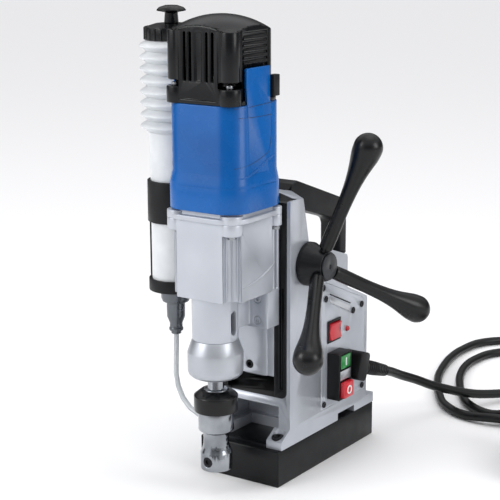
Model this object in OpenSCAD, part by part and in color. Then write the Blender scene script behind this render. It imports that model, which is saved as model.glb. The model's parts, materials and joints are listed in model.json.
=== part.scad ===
// Magnetic drill press: a magnet foot and a cast column, a motor carriage that slides up and
// down the column on a rack and pinion, and an annular cutter holder driven through two gear stages.
// Millimetres. Origin: centre of the magnet's lower face. Front is -Y, the control side is +X.

/* [Magnet foot] */
// Width of the magnet foot
foot_w = 84; // [84:1:90]
// Length of the magnet foot
foot_l = 168; // [168:1:180]
// Height of the magnet foot
foot_h = 33; // [30:0.5:33]

/* [Column] */
// Height of the column's top above the floor
column_top = 254; // [250:1:262]
// Thickness of the column's side walls
wall = 4.5; // [4:0.5:5]
// Width of the carry handle
grip_w = 22; // [18:1:26]

/* [Feed] */
// Module of the feed pinion and rack
feed_module = 1.5; // [1.5:0.5:1.5]
// Teeth on the feed pinion
feed_teeth = 16; // [16:1:16]
// Height of the lever axis
hub_z = 195; // [193:1:197]
// Length of a lever from the hub axis to the centre of its ball
lever_l = 118; // [90:1:140]
// Outward lean of the levers, in degrees
lever_lean = 24; // [18:1:26]

/* [Spindle and tool holder] */
// Radius of the tool socket, for 19.05 mm cutter shanks
socket_r = 9.525; // [7:0.005:9.6]
// Depth of the tool socket
socket_d = 36; // [25:1:38]
// Height of the tool holder's lower end
holder_z = 22; // [20:1:23]

/* [Motor] */
// Height of the motor housing's lower edge
motor_z = 254; // [254:1:256]
// Width of the motor housing
motor_w = 74.4; // [73:0.2:75]
// Height of the joint between motor housing and cap
cap_z = 343; // [340:1:345]
// Height of the top of the cap
cap_top = 415; // [412:1:420]

/* [Coolant bottle] */
// Outer radius of the bellows
bellows_r = 28.6; // [26:0.1:28.8]
// Number of folds in the bellows
folds = 7; // [5:1:9]

/* [Cord] */
// Diameter of the mains cord
cord_d = 9; // [8:0.5:9]
// Mean diameter of the stored coil
coil_d = 106; // [96:1:108]

/* [Hidden] */
$fn = 64;
eps = 0.01;

// main planes of the stand
side_x = foot_w / 2;
front_y = -64.5;            // front face of the column
rear_y = 70;                // rear face of the electronics box
flange_z = 42.4;            // top of the casting's base flange
lean_back = 0.23;           // run of the column's rear face for each mm of height
rear_top_y = -43.8;         // rear edge of the column's side, at its top
spine_x = 13;               // half width of the rear spine
channel_x = 38.4;           // half width of the guide channel
channel_z = 76;             // lower end of the guide channel
rail_back_y = -48;          // back of the guide channel

// feed
feed_r = feed_module * feed_teeth / 2;
hub_y = -37;
rack_y = hub_y - feed_r;    // pitch line of the rack
bush_r = 10.5;
slide_bottom = 95;
slide_top = 236;
slide_front = -66.2;
lever_angles = [90, -30, -150];
lever_root_x = 53.5;

// gear train
angle_p = 25;               // pressure angle of every gear
tip_k = 0.8;                // addendum in modules
root_k = 1.1;               // dedendum in modules
play = 0.14;                // backlash at the pitch circle
spindle_y = -118;
motor_y = -102;
first_module = 0.8;
second_module = 1;
rotor_teeth = 10;
counter_teeth = 30;
counter_pinion_teeth = 12;
spindle_teeth = 33;
first_d = first_module * (rotor_teeth + counter_teeth) / 2;
second_d = second_module * (counter_pinion_teeth + spindle_teeth) / 2;
axis_gap = motor_y - spindle_y;
counter_y = motor_y + (second_d * second_d - first_d * first_d - axis_gap * axis_gap) / (2 * axis_gap);
counter_x = sqrt(first_d * first_d - pow(counter_y - motor_y, 2));
first_angle = atan2(counter_y - motor_y, counter_x);      // from the motor to the countershaft
second_angle = atan2(counter_y - spindle_y, counter_x);   // from the spindle to the countershaft

// gearbox
box_x = 34.5;
box_front = -140;
box_rear = -69;
box_mid_y = (box_front + box_rear) / 2;
box_z = 178;
box_top = 246;

// bottle
bottle_x = -70.2;
bottle_y = -81;
bottle_r = 20.6;
cup_z = 166;
bellows_z = 309;
pump_z = 389;
stroke_pump = 36;

ring_bore = 10.35;

// switch module
switch_y = 9;
rocker_z = 122.7;

// cord: points of its run over the floor, one after another, up to the coil
cord_r = cord_d / 2;
cord_points = [
    [52, 82.92, 66.56], [52, 100.78, 60.06], [54, 119.5, 51.5], [59, 141, 42], [67, 163, 31],
    [78.5, 186, 21.5], [92, 210.5, 13.5], [107, 238, 9], [125, 268.5, 5.5], [145.5, 304, 4.5],
    [157, 347, 4.5], [145.5, 391, 4.5], [113.5, 425.5, 4.5], [70, 442, 5], [29.5, 432.5, 4.5],
    [4.5, 403, 5], [-1.5, 366, 4.5], [2, 330, 4.5], [10, 297.5, 4.5], [20, 267.5, 4.5], [33, 239.5, 5],
    [48.5, 212.5, 5], [69, 186, 4.5], [99, 168.5, 5], [136, 169, 8], [173.5, 188, 4.5], [189, 233, 6],
    [175, 282.5, 5], [154.5, 327.5, 14], [136.5, 369.5, 5.5], [106, 400, 4.5], [65, 403, 4.5],
    [34.5, 376, 4.5], [27, 339, 4.5], [31, 307, 4.5], [40, 279.5, 4.5], [52.5, 253, 5], [68, 226.5, 5],
    [89.5, 200, 4.5], [122.5, 183.5, 5.5], [160.5, 181, 15], [194.5, 178.5, 8], [221.5, 176, 5],
    [245, 172.5, 4.5]
];
coil_x = 248;
coil_y = 104;
coil_h = 2 * cord_d;
coil_w = 3 * cord_d;

// ---------------------------------------------------------------- shared shapes

// rounded rectangle, centred
module round_rect(w, l, r) {
    union() {
        square([w - 2 * r, l], center = true);
        square([w, l - 2 * r], center = true);
        for (sx = [-1, 1], sy = [-1, 1])
            translate([sx * (w / 2 - r), sy * (l / 2 - r)]) circle(r);
    }
}

// band inside a rounded rectangle, with square inner corners
module track(w, l, r, band, h) {
    linear_extrude(h) difference() {
        round_rect(w, l, r);
        square([w - 2 * band, l - 2 * band], center = true);
    }
}

// an outline in Y and Z, carried along X from x0 to x1
module side_slab(x0, x1, points) {
    translate([x0, 0, 0]) rotate([90, 0, 90]) linear_extrude(x1 - x0) polygon(points);
}

// a cylinder along +X from x0 to x1
module x_rod(x0, x1, y, z, r) {
    translate([x0, y, z]) rotate([0, 90, 0]) cylinder(r = r, h = x1 - x0);
}

// a block given by two corners
module block(a, b) { translate(a) cube([b[0] - a[0], b[1] - a[1], b[2] - a[2]]); }

// socket head screw, head upwards, seated at z = 0
module cap_screw(r, length, head_r, head_h) {
    difference() {
        union() {
            translate([0, 0, -length]) cylinder(r = r, h = length + eps);
            cylinder(r = head_r, h = head_h);
        }
        translate([0, 0, head_h * 0.4]) cylinder(r = head_r * 0.52, h = head_h, $fn = 6);
    }
}

// involute polar angle at radius r on base radius b
function involute(b, r) = let (t = sqrt(max(0, pow(r / b, 2) - 1))) t * 180 / PI - atan(t);

// half the angle of a tooth at radius r
function tooth_half(m, z, r) =
    let (p = m * z / 2, b = p * cos(angle_p))
    90 / z - play * 90 / (PI * p) + involute(b, p) - involute(b, max(b, r));

function gear_points(m, z) =
    let (p = m * z / 2, low = p - root_k * m, tip = p + tip_k * m,
         steps = [low, max(low + 0.1 * m, p * cos(angle_p)), p, p + 0.4 * m, tip])
    [for (i = [0 : z - 1], k = [0 : 9])
        let (r = steps[k < 5 ? k : 9 - k], side = k < 5 ? -1 : 1,
             a = 360 * i / z + side * tooth_half(m, z, r))
        [r * cos(a), r * sin(a)]];

module gear(m, z, h, turn = 0) {
    rotate([0, 0, turn]) linear_extrude(h) polygon(gear_points(m, z));
}

// Catmull-Rom point between b and c
function between(a, b, c, d, t) =
    0.5 * (2 * b + (c - a) * t + (2 * a - 5 * b + 4 * c - d) * t * t
    + (3 * b - a - 3 * c + d) * t * t * t);

function smooth_path(p, n) = concat(
    [for (i = [0 : len(p) - 2], k = [0 : n - 1])
        between(p[max(0, i - 1)], p[i], p[i + 1], p[min(len(p) - 1, i + 2)], k / n)],
    [p[len(p) - 1]]);

function unit(v) = v / norm(v);

// tube swept along a path as one solid
module tube(path, r, sides = 8) {
    n = len(path);
    along = [for (i = [0 : n - 1]) unit(path[min(n - 1, i + 1)] - path[max(0, i - 1)])];
    right = [for (i = [0 : n - 1])
        abs(along[i][2]) > 0.97 ? [0, 1, 0] : unit(cross([0, 0, 1], along[i]))];
    up = [for (i = [0 : n - 1]) unit(cross(along[i], right[i]))];
    over = [for (i = [0 : n - 1]) unit(cross(up[i], along[i]))];
    points = [for (i = [0 : n - 1], k = [0 : sides - 1])
        let (a = 360 * (k + 0.5) / sides)
        path[i] + r * cos(a) * over[i] + r * sin(a) * up[i]];
    skin = [for (i = [0 : n - 2], k = [0 : sides - 1])
        let (j = (k + 1) % sides)
        [i * sides + k, i * sides + j, (i + 1) * sides + j, (i + 1) * sides + k]];
    first = [for (k = [0 : sides - 1]) sides - 1 - k];
    last = [for (k = [0 : sides - 1]) (n - 1) * sides + k];
    polyhedron(points, concat([first], skin, [last]), convexity = 10);
}

// ---------------------------------------------------------------- stand

module magnet_block() {
    color([0.13, 0.14, 0.16]) difference() {
        linear_extrude(foot_h) round_rect(foot_w, foot_l, 1.5);
        for (s = [-1, 1]) translate([0, s * 40, -eps]) track(62, 66, 6, 13, 18 + eps);
        for (s = [-1, 1]) translate([s * 34, -72, 16]) cylinder(r = 3.05, h = foot_h);
        for (s = [-1, 1]) translate([s * 32, 77, 16]) cylinder(r = 3.05, h = foot_h);
    }
}

module magnet_coils() {
    color([0.72, 0.40, 0.18])
        for (s = [-1, 1]) translate([0, s * 40, 4]) track(61.4, 65.4, 5.7, 12.4, 13.8);
}

module coil_filler() {
    color([0.20, 0.20, 0.21])
        for (s = [-1, 1]) translate([0, s * 40, 0.2]) track(62, 66, 6, 13, 3.6);
}

module base_bolts() {
    color([0.16, 0.16, 0.18]) {
        for (s = [-1, 1]) translate([s * 34, -72, 38]) cap_screw(3, 21, 5, 6);
        for (s = [-1, 1]) translate([s * 32, 77, flange_z]) cap_screw(3, 24, 5, 6);
    }
}

// prism with the column's boat-shaped back, leaning with the rear face
module column_back() {
    translate([0, rear_top_y, column_top]) rotate([atan(lean_back), 0, 0])
        translate([0, 0, -230]) linear_extrude(260)
            polygon([[-side_x - 5.8, -80], [side_x + 5.8, -80], [side_x + 5.8, -4.9], [spine_x + 0.6, 24],
                     [-spine_x - 0.6, 24], [-side_x - 5.8, -4.9]]);
}

module column_outside() {
    intersection() {
        block([-side_x, front_y, foot_h], [side_x, 0, column_top]);
        column_back();
    }
    side_slab(-side_x, side_x, [[-78.5, foot_h], [-78.5, 40], [front_y, 49], [front_y, 150],
        [-28, 150], [-28, 186.2], [7, 170.5], [69, 142.3], [rear_y, 140], [rear_y, flange_z],
        [84, flange_z], [84, foot_h]]);
    side_slab(-spine_x, spine_x, [[-30, 100], [-30, 216], [-12, 214], [-8, 207.2], [51, 186.7],
        [81, 176.2], [82.5, 173], [82.5, 42], [60, 42], [60, 100]]);
}

module column_housing() {
    color([0.74, 0.76, 0.79]) difference() {
        column_outside();
        // guide channel, with round lower corners
        translate([0, rail_back_y, 0]) rotate([90, 0, 0]) linear_extrude(40) {
            translate([-channel_x, channel_z + 6]) square([2 * channel_x, 200]);
            translate([-channel_x + 6, channel_z]) square([2 * channel_x - 12, 20]);
            for (s = [-1, 1]) translate([s * (channel_x - 6), channel_z + 6]) circle(6);
        }
        // recess for the rack and the pinion
        for (z = [channel_z + 4, hub_z + 20]) translate([0, 0, z]) linear_extrude(hub_z - channel_z - 24)
            polygon([[-33, rail_back_y - 1], [33, rail_back_y - 1], [33, rail_back_y], [12, -34],
                     [-12, -34], [-33, rail_back_y]]);
        block([-11, rail_back_y - 1, channel_z], [11, rail_back_y + 1, column_top + 1]);
        x_rod(-12, 12, hub_y, hub_z, 15.2);
        // seats of the two pinion bushes
        x_rod(11, side_x + 1, hub_y, hub_z, bush_r);
        x_rod(-36, -11, hub_y, hub_z, bush_r);
        // holes for the carry handle's studs
        for (p = handle_studs_at) translate(p[0]) rotate(p[1]) cylinder(r = 3, h = 18);
        // clearance for the cutter, through the base flange and higher up behind it
        block([-22, -90, foot_h - 1], [22, -31, 68]);
        block([-30, front_y - 1, flange_z], [30, -25, 68]);
        block([-26, -90, foot_h - 1], [26, front_y + 1, 60]);
        // electronics room, open to the control side, with a step for the panel
        side_slab(-side_x + wall, side_x + 1, [[-3.5, 59], [57, 59], [57, 130], [-3.5, 155.7]]);
        side_slab(side_x - 3, side_x + 1, panel_outline(0.15));
        // strap slot over the magnet
        block([-side_x - 1, 18, foot_h - 1], [side_x + 1, 48, 39.5]);
        // base bolts
        for (s = [-1, 1]) translate([s * 34, -72, foot_h - 1]) {
            cylinder(r = 3.3, h = 20);
            translate([0, 0, 39 - foot_h]) cylinder(r = 5.6, h = 30);
        }
        for (s = [-1, 1]) translate([s * 32, 77, foot_h - 1]) cylinder(r = 3.3, h = 20);
        // threads of the panel screws
        for (p = panel_holes) x_rod(30, side_x, p[0], p[1], 1.5);
        // opening for the cord
        x_rod(20, side_x + 1, outlet_y, outlet_z, 7);
    }
}

function panel_outline(grow) = [
    [-12.5 - grow, 51 - grow], [66 + grow, 51 - grow], [66 + grow, 137.6 + grow],
    [60 + grow, 143 + grow], [-5, 170.6 + grow], [-12.5 - grow, 169.6 + grow]];

panel_holes = [[-7.4, 55.4], [-9.6, 166.4], [61.6, 55.6], [59.4, 136.2]];

module guide_rails() {
    color([0.22, 0.23, 0.25]) for (s = [0, 1]) mirror([s, 0, 0])
        difference() {
            translate([0, 0, channel_z + 0.2]) linear_extrude(column_top - channel_z - 1.2)
                polygon([[25, front_y], [channel_x - 0.1, front_y], [channel_x - 0.1, rail_back_y - 0.1],
                         [31, rail_back_y - 0.1], [31, -52], [25, -60]]);
            // round lower corner and the oil groove in the front face
            translate([channel_x - 6, 0, channel_z + 6]) rotate([90, 0, 0]) difference() {
                translate([0, -8, 40]) cube([8, 8, 30]);
                translate([0, 0, 39]) cylinder(r = 5.9, h = 32);
            }
            block([30.5, front_y - 1, 84], [35, front_y + 3, 177]);
        }
}

module gib_strip() {
    color([0.78, 0.62, 0.28]) block([-30.9, -51.6, channel_z + 4.4], [-29.1, -48.3, column_top - 2]);
}

module carry_handle() {
    color([0.11, 0.12, 0.13]) difference() {
        intersection() {
            side_slab(-grip_w / 2, grip_w / 2, [[-40, 240], [-40, 252], [-18, 253.9], [-12, 258.6],
                [-4, 260.6], [4, 257.8], [74, 232.6], [82, 227.5], [86, 220], [86, 175.2], [80, 177.1],
                [70.5, 180.4], [70.5, 206], [68, 211.5], [62, 214.4], [-14, 238.2], [-20, 230], [-30, 230]]);
            // rounded along its length
            translate([0, 0, 160]) linear_extrude(110) translate([0, 15])
                round_rect(grip_w, 142, 6);
        }
        column_back();
        for (p = handle_studs_at) translate(p[0]) rotate(p[1]) cylinder(r = 3, h = 30);
    }
}

// place and direction of the two studs that hold the handle
handle_studs_at = [[[0, -31, 245], [-90, 0, 0]], [[0, 77.2, 162], [0, 0, 0]]];

module handle_studs() {
    color([0.3, 0.3, 0.32])
        for (p = handle_studs_at) translate(p[0]) rotate(p[1]) cylinder(r = 2.95, h = 29);
}

module control_panel() {
    color([0.74, 0.76, 0.79]) difference() {
        side_slab(side_x - 3, side_x - 0.05, panel_outline(0));
        for (p = panel_holes) x_rod(side_x - 4, side_x + 1, p[0], p[1], 2.3);
        for (p = inner_holes) x_rod(side_x - 4, side_x + 1, p[0], p[1], 2.3);
        // rocker, switch module, lamp, cord outlet
        block([side_x - 4, switch_y - 10.2, rocker_z - 9.2], [side_x + 1, switch_y + 10.2, rocker_z + 9.2]);
        block([side_x - 4, switch_y - 9, 64], [side_x + 1, switch_y + 9, 99]);
        x_rod(side_x - 4, side_x + 1, 32.9, 118.7, 2.55);
        x_rod(side_x - 4, side_x + 1, outlet_y, outlet_z, 7);
    }
}

inner_holes = [[-5.2, 155.2], [43.6, 133.6]];

module panel_screws() {
    color([0.1, 0.1, 0.11]) {
        for (p = panel_holes) translate([side_x - 0.05, p[0], p[1]]) rotate([0, 90, 0])
            cap_screw(1.45, 11.8, 3, 1);
        for (p = inner_holes) translate([side_x - 0.05, p[0], p[1]]) rotate([0, 90, 0])
            cap_screw(2.2, 2.9, 3, 1);
    }
}

module trim_plate() {
    color([0.8, 0.82, 0.84]) side_slab(side_x - 0.05, side_x + 0.5, [[1.5, 156.4], [37.5, 139.6],
        [37.5, 133.6], [1.5, 150.4]]);
}

module switch_bezel() {
    color([0.09, 0.09, 0.1]) difference() {
        union() {
            block([side_x - 15, switch_y - 10, rocker_z - 9], [side_x, switch_y + 10, rocker_z + 9]);
            block([side_x - 0.05, switch_y - 11.4, rocker_z - 10.4],
                  [side_x + 1, switch_y + 11.4, rocker_z + 10.4]);
        }
        block([side_x - 13.5, switch_y - 9.2, rocker_z - 8.2], [side_x + 3, switch_y + 9.2, rocker_z + 8.2]);
    }
}

module status_lamp() {
    color([0.8, 0.06, 0.1]) translate([side_x - 6, 32.9, 118.7]) rotate([0, 90, 0]) {
        cylinder(r = 2.5, h = 6.2);
        translate([0, 0, 6]) intersection() {
            sphere(r = 2.5);
            translate([-4, -4, 0]) cube([8, 8, 4]);
        }
    }
}

module switch_box() {
    color([0.09, 0.10, 0.11]) difference() {
        union() {
            block([side_x - 0.05, switch_y - 11, 59.5], [side_x + 13, switch_y + 11, 103.5]);
            block([side_x - 24, switch_y - 8.9, 64.1], [side_x, switch_y + 8.9, 98.9]);
        }
        // pockets of the two buttons, and the shallow one of the label
        block([side_x + 1, switch_y - 8.6, 88.6], [side_x + 14, switch_y + 8.6, 102]);
        block([side_x + 1, switch_y - 8.6, 61.2], [side_x + 14, switch_y + 8.6, 76.8]);
        block([side_x + 12.4, switch_y - 9, 78], [side_x + 14, switch_y + 9, 87.4]);
    }
}

module switch_label() {
    color([0.82, 0.84, 0.86])
        block([side_x + 12.4, switch_y - 8.8, 78.2], [side_x + 13.2, switch_y + 8.8, 87.2]);
}

module circuit_board() {
    color([0.1, 0.35, 0.18]) {
        block([-20, -2, 60], [-18.4, 56, 128]);
        block([-18.4, 6, 66], [-6, 30, 92]);
        block([-18.4, 36, 96], [-4, 52, 122]);
        translate([-18.4, 20, 110]) rotate([0, 90, 0]) cylinder(r = 8, h = 16);
    }
}

module pinion_bushes() {
    color([0.72, 0.52, 0.26]) for (span = [[14, side_x - 0.2], [-35.5, -14]]) difference() {
        x_rod(span[0], span[1], hub_y, hub_z, bush_r);
        x_rod(span[0] - 1, span[1] + 1, hub_y, hub_z, 7);
    }
}

outlet_turn = 20;
outlet_y = 35;
outlet_z = 84;

// the outlet is tipped back about the panel's normal, at this place
module at_outlet() {
    translate([side_x, outlet_y, outlet_z]) rotate([-outlet_turn, 0, 0]) children();
}

module cable_outlet() {
    color([0.09, 0.10, 0.11]) difference() {
        union() {
            at_outlet() rounded_bar(18, 17, 27, 4);
            x_rod(side_x - 8, side_x + 1, outlet_y, outlet_z, 6.9);
        }
        x_rod(side_x - 9, side_x + 12, outlet_y, outlet_z, 4.6);
        at_outlet() translate([10, 0, 0]) rotate([-90, 0, 0]) cylinder(r = 5.1, h = 20);
    }
}

// rounded bar along X: h long, w wide along Y and l tall along Z
module rounded_bar(h, w, l, r) {
    rotate([90, 0, 90]) linear_extrude(h) round_rect(w, l, r);
}

module strain_relief() {
    color([0.10, 0.10, 0.11]) at_outlet() translate([10, 0, 0]) rotate([-90, 0, 0]) difference() {
        rotate_extrude() polygon([[0, 5.4], [5, 5.4], [5, 8.6], [6.9, 8.6], [6.9, 32], [5.5, 56],
            [0, 56]]);
        translate([0, 0, 5]) cylinder(r = cord_r + 0.05, h = 60);
    }
}

module power_cord() {
    color([0.07, 0.07, 0.08]) tube(smooth_path(cord_points, 2), cord_r, 8);
}

module cord_coil() {
    color([0.07, 0.07, 0.08]) translate([coil_x, coil_y, 0]) rotate_extrude()
        translate([coil_d / 2, coil_h / 2]) round_rect(coil_w, coil_h, cord_r - 0.1);
}

module plug() {
    color([0.07, 0.07, 0.08])
        translate([coil_x - coil_d / 2, coil_y + 29, coil_h + 18.6]) rotate([90, 0, 0]) {
            cylinder(r = 18.4, h = 30);
            translate([0, 0, 29]) cylinder(r1 = 18.4, r2 = 10, h = 10);
            for (s = [-1, 1]) translate([s * 9.5, 0, -19]) cylinder(r = 2.4, h = 20);
        }
}

// ---------------------------------------------------------------- carriage

module slide() {
    color([0.42, 0.43, 0.45]) difference() {
        union() {
            translate([0, 0, slide_bottom]) linear_extrude(slide_top - slide_bottom)
                polygon([[-24.8, -64.7], [24.8, -64.7], [24.8, -59.9], [30.7, -52.05], [30.7, -48.3],
                         [-28.9, -48.3], [-28.9, -52.05], [-24.8, -59.9]]);
            block([-18.5, slide_front, slide_bottom], [18.5, -64.6, slide_top]);
        }
        block([-12.3, -58, slide_bottom - 1], [12.3, -48, slide_top + 1]);
        translate([0, -70, 103]) rotate([-90, 0, 0]) cylinder(r = 4, h = 8);
        for (p = bracket_holes) translate([p[0], -67, p[1]]) rotate([-90, 0, 0]) cylinder(r = 2.1, h = 12);
    }
}

function rack_points(z0, z1) =
    let (p = PI * feed_module, n0 = ceil((z0 - hub_z) / p), n1 = floor((z1 - hub_z) / p) - 1,
         w = tan(angle_p) * feed_module, half = p / 4 - play / 2)
    concat([[rack_y - 8.8, z0], [rack_y - 8.8, z1], [rack_y - root_k * feed_module, z1]],
        [for (i = [n1 : -1 : n0], k = [0 : 3])
            let (c = hub_z + (i + 0.5) * p, top = k == 1 || k == 2, up = k < 2 ? 1 : -1)
            [rack_y + (top ? tip_k : -root_k) * feed_module,
             c + up * (half + (top ? -tip_k : root_k) * w)]],
        [[rack_y - root_k * feed_module, z0]]);

module feed_rack() {
    color([0.5, 0.5, 0.52]) side_slab(-10, 10, rack_points(91, 222));
}

bracket_holes = [for (x = [-20.2, 20.2], z = [150.6, 170]) [x, z]];

module bracket_screws() {
    color([0.2, 0.2, 0.22])
        for (p = bracket_holes) translate([p[0], -81, p[1]]) rotate([90, 0, 0])
            cap_screw(2, 25, 3.5, 2.6);
}

module slide_bracket() {
    color([0.72, 0.74, 0.77]) difference() {
        union() {
            block([-31.5, box_rear, 144], [31.5, slide_front, 246]);
            block([-31.5, -84, 144], [31.5, box_rear + eps, box_z]);
            block([-12, -100, 146], [12, -84 + eps, box_z]);
        }
        translate([0, spindle_y, 140]) cylinder(r = 20.02, h = 60);
        for (p = bracket_holes) translate([p[0], -90, p[1]]) rotate([-90, 0, 0]) {
            cylinder(r = 2.2, h = 40);
            cylinder(r = 3.6, h = 9);
        }
    }
}

module gearbox_housing() {
    color([0.74, 0.76, 0.79]) difference() {
        union() {
            translate([0, box_mid_y, box_z]) linear_extrude(box_top - box_z)
                round_rect(2 * box_x, box_rear - box_front, 12);
            // nose tube
            translate([0, spindle_y, 140]) cylinder(r = 20, h = box_z - 140 + 1);
            // bosses of the flange screws
            for (p = flange_holes) translate([p[0], p[1], box_top - 10]) cylinder(r = p[2], h = 10);
        }
        // gear room, with thick front corners
        difference() {
            translate([0, box_mid_y, box_z + 5]) linear_extrude(80)
                round_rect(2 * box_x - 8, box_rear - box_front - 8, 8);
            for (s = [-1, 1]) translate([s * 29.5, -134.5, box_z]) cylinder(r = 10.5, h = 90);
        }
        translate([0, spindle_y, 130]) cylinder(r = 15.02, h = 60);
        // drift slot, right through the nose
        translate([-30, spindle_y, 156.2]) rotate([90, 0, 90]) linear_extrude(60)
            round_rect(7.6, 21, 3.7);
        // hollows under the front bosses, where their screws go in
        for (s = [-1, 1]) translate([s * 29.5, -134.5, box_z - 1]) cylinder(r = 7.5, h = box_top - box_z - 9);
        for (s = [-1, 1]) translate([s * 35.2, -77, box_z - 1]) cylinder(r = 4, h = box_top - box_z - 9);
        // blind seat of the countershaft
        translate([counter_x, counter_y, box_z + 1.5]) cylinder(r = 4.05, h = 10);
        for (p = flange_holes) translate([p[0], p[1], box_top - 11]) cylinder(r = 2.2, h = 20);
    }
}

// place of each flange screw, and the radius of its boss
flange_holes = [[-27.5, -131.5, 9.5], [27.5, -131.5, 9.5], [-35.2, -77, 5], [35.2, -77, 5]];

module gearbox_flange() {
    color([0.74, 0.76, 0.79]) difference() {
        union() {
            translate([0, -103.2, box_top]) linear_extrude(4) round_rect(79, 79, 21);
            // register of the motor
            translate([0, motor_y, box_top + 3]) linear_extrude(motor_z - box_top - 3)
                round_rect(motor_w - 4.2, motor_w - 4.2, 18);
            for (p = flange_holes) translate([p[0], p[1], box_top]) cylinder(r = p[2], h = 6.6);
        }
        translate([0, motor_y, box_top - 1]) cylinder(r = 11.02, h = 20);
        translate([counter_x, counter_y, box_top - 1]) cylinder(r = 4.05, h = 4);
        for (p = flange_holes) translate([p[0], p[1], box_top - 1]) cylinder(r = 2, h = 6);
    }
}

module flange_screws() {
    color([0.2, 0.2, 0.22])
        for (p = flange_holes) translate([p[0], p[1], box_top - 10]) mirror([0, 0, 1])
            cap_screw(1.95, 14, 3.6, 3.4);
}

module spindle_collar() {
    color([0.76, 0.78, 0.81]) translate([0, spindle_y, 0]) rotate_extrude() difference() {
        union() {
            polygon([[8.9, 105.5], [17.4, 105.5], [17.4, 112.3], [24.2, 112.3], [24.2, 129], [20, 140],
                     [8.9, 140]]);
            translate([17.4, 112.3]) circle(6.8);
        }
        translate([0, 110]) square([15, 40]);
    }
}

module ball_bearing(z, h, r_in, r_out) {
    translate([0, 0, z]) {
        difference() {
            cylinder(r = r_out, h = h);
            translate([0, 0, -1]) cylinder(r = r_in, h = h + 2);
            // ball track, closed by the shields
            translate([0, 0, h / 2]) rotate_extrude() translate([(r_in + r_out) / 2, 0]) circle(h * 0.3);
        }
    }
}

module spindle_bearings() {
    color([0.6, 0.61, 0.63]) {
        translate([0, spindle_y, 0]) ball_bearing(111, 12, 8.5, 15);
        translate([0, spindle_y, 0]) ball_bearing(170, 12, 8.5, 15);
        translate([0, motor_y, 0]) ball_bearing(246.5, 7, 5.05, 11);
        translate([0, motor_y, 0]) ball_bearing(380, 8, 5.05, 11);
    }
}

module motor_housing() {
    color([0.05, 0.36, 0.66]) difference() {
        union() {
            translate([0, motor_y - 0.5, motor_z]) linear_extrude(22) round_rect(78, 78, 21);
            translate([0, motor_y, motor_z + 10]) linear_extrude(cap_z - motor_z - 10)
                round_rect(motor_w, motor_w, 20);
            // side tongues under the vents
            for (s = [-1, 1]) block([min(s * 34.4, s * 37.2), -122.5, cap_z - 10],
                [max(s * 34.4, s * 37.2), -88, cap_z + 30]);
        }
        translate([0, motor_y, motor_z - 1]) linear_extrude(200) round_rect(68.6, 68.6, 17);
    }
}

module motor_cap() {
    color([0.11, 0.12, 0.13]) difference() {
        union() {
            intersection() {
                translate([0, cap_y, cap_z]) linear_extrude(90) round_rect(68, 66, 14);
                translate([0, cap_y, cap_top - 74]) sphere(r = 74);
            }
            // corner pillars at the front, each over a low boss with a screw on it
            for (s = [-1, 1]) {
                translate([s * 26.4, cap_y - 25.4, cap_z]) cylinder(r = 9.5, h = 14);
                translate([s * 26.4, cap_y - 25.4, cap_z + 19]) cylinder(r = 8.2, h = 41);
            }
            // joint with the motor housing
            translate([0, motor_y, cap_z]) linear_extrude(4) round_rect(motor_w - 0.8, motor_w - 0.8, 20);
        }
        difference() {
            translate([0, cap_y, cap_z - 1]) linear_extrude(62) round_rect(61, 59, 11);
            // thick corners round the screw pockets
            for (s = [-1, 1]) translate([s * 26.4, cap_y - 25.4, cap_z - 2]) cylinder(r = 12, h = 64);
            // seat of the upper bearing
            translate([0, motor_y, 378]) cylinder(r = 14, h = 40);
            for (s = [0, 90]) translate([0, motor_y, 402]) rotate([0, 0, s])
                cube([4, 50, 30], center = true);
        }
        translate([0, motor_y, 370]) cylinder(r = 11.02, h = 18);
        // windows for the side tongues and the vents above them
        for (s = [-1, 1]) translate([s * 37, -105.25, cap_z + 29]) cube([10, 34.6, 59], center = true);
        // tall vents in the front, on both sides of a shallow recess
        for (x = [-14, -8.4, 8.4, 14])
            block([x - 1.2, -145, 362], [x + 1.2, -133, 402]);
        block([-3.2, -145, 362], [3.2, cap_y - 31.6, 402]);
        for (p = cap_holes) translate([p[0], p[1], cap_z - 1]) cylinder(r = 1.7, h = 20);
        for (s = [-1, 1]) translate([s * 26.4, cap_y - 25.4, cap_z + 14]) cylinder(r = 9.7, h = 5);
    }
    // vent slats over the tongues
    color([0.11, 0.12, 0.13]) for (s = [-1, 1], k = [0 : 4])
        translate([s * 32.4, -105.25, cap_z + 33.6 + 5 * k]) cube([2.6, 34.8, 2.4], center = true);
}

cap_y = -105.6;
cap_holes = [for (s = [-1, 1]) [s * 27.4, cap_y - 27.6]];

module cap_screws() {
    color([0.25, 0.25, 0.27])
        for (p = cap_holes) translate([p[0], p[1], cap_z + 14]) cap_screw(1.6, 13, 3, 3);
}

module brush_covers() {
    color([0.10, 0.10, 0.11]) for (s = [-1, 1]) difference() {
        block([min(s * 34.1, s * 39.8), -86.6, cap_z + 0.2 + 3.9], [max(s * 34.1, s * 39.8), -77.6, cap_z + 22]);
        translate([s * 35.6, -82, 358]) cube([3.4, 5, 10], center = true);
    }
}

module carbon_brushes() {
    color([0.15, 0.15, 0.16]) for (s = [-1, 1])
        translate([s * 22.4, motor_y, 352]) cube([15.6, 6, 8], center = true);
}

module stator() {
    color([0.45, 0.42, 0.40]) translate([0, motor_y, 278]) difference() {
        linear_extrude(46) round_rect(68.4, 68.4, 17);
        translate([0, 0, -1]) cylinder(r = 22.6, h = 50);
    }
}

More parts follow.
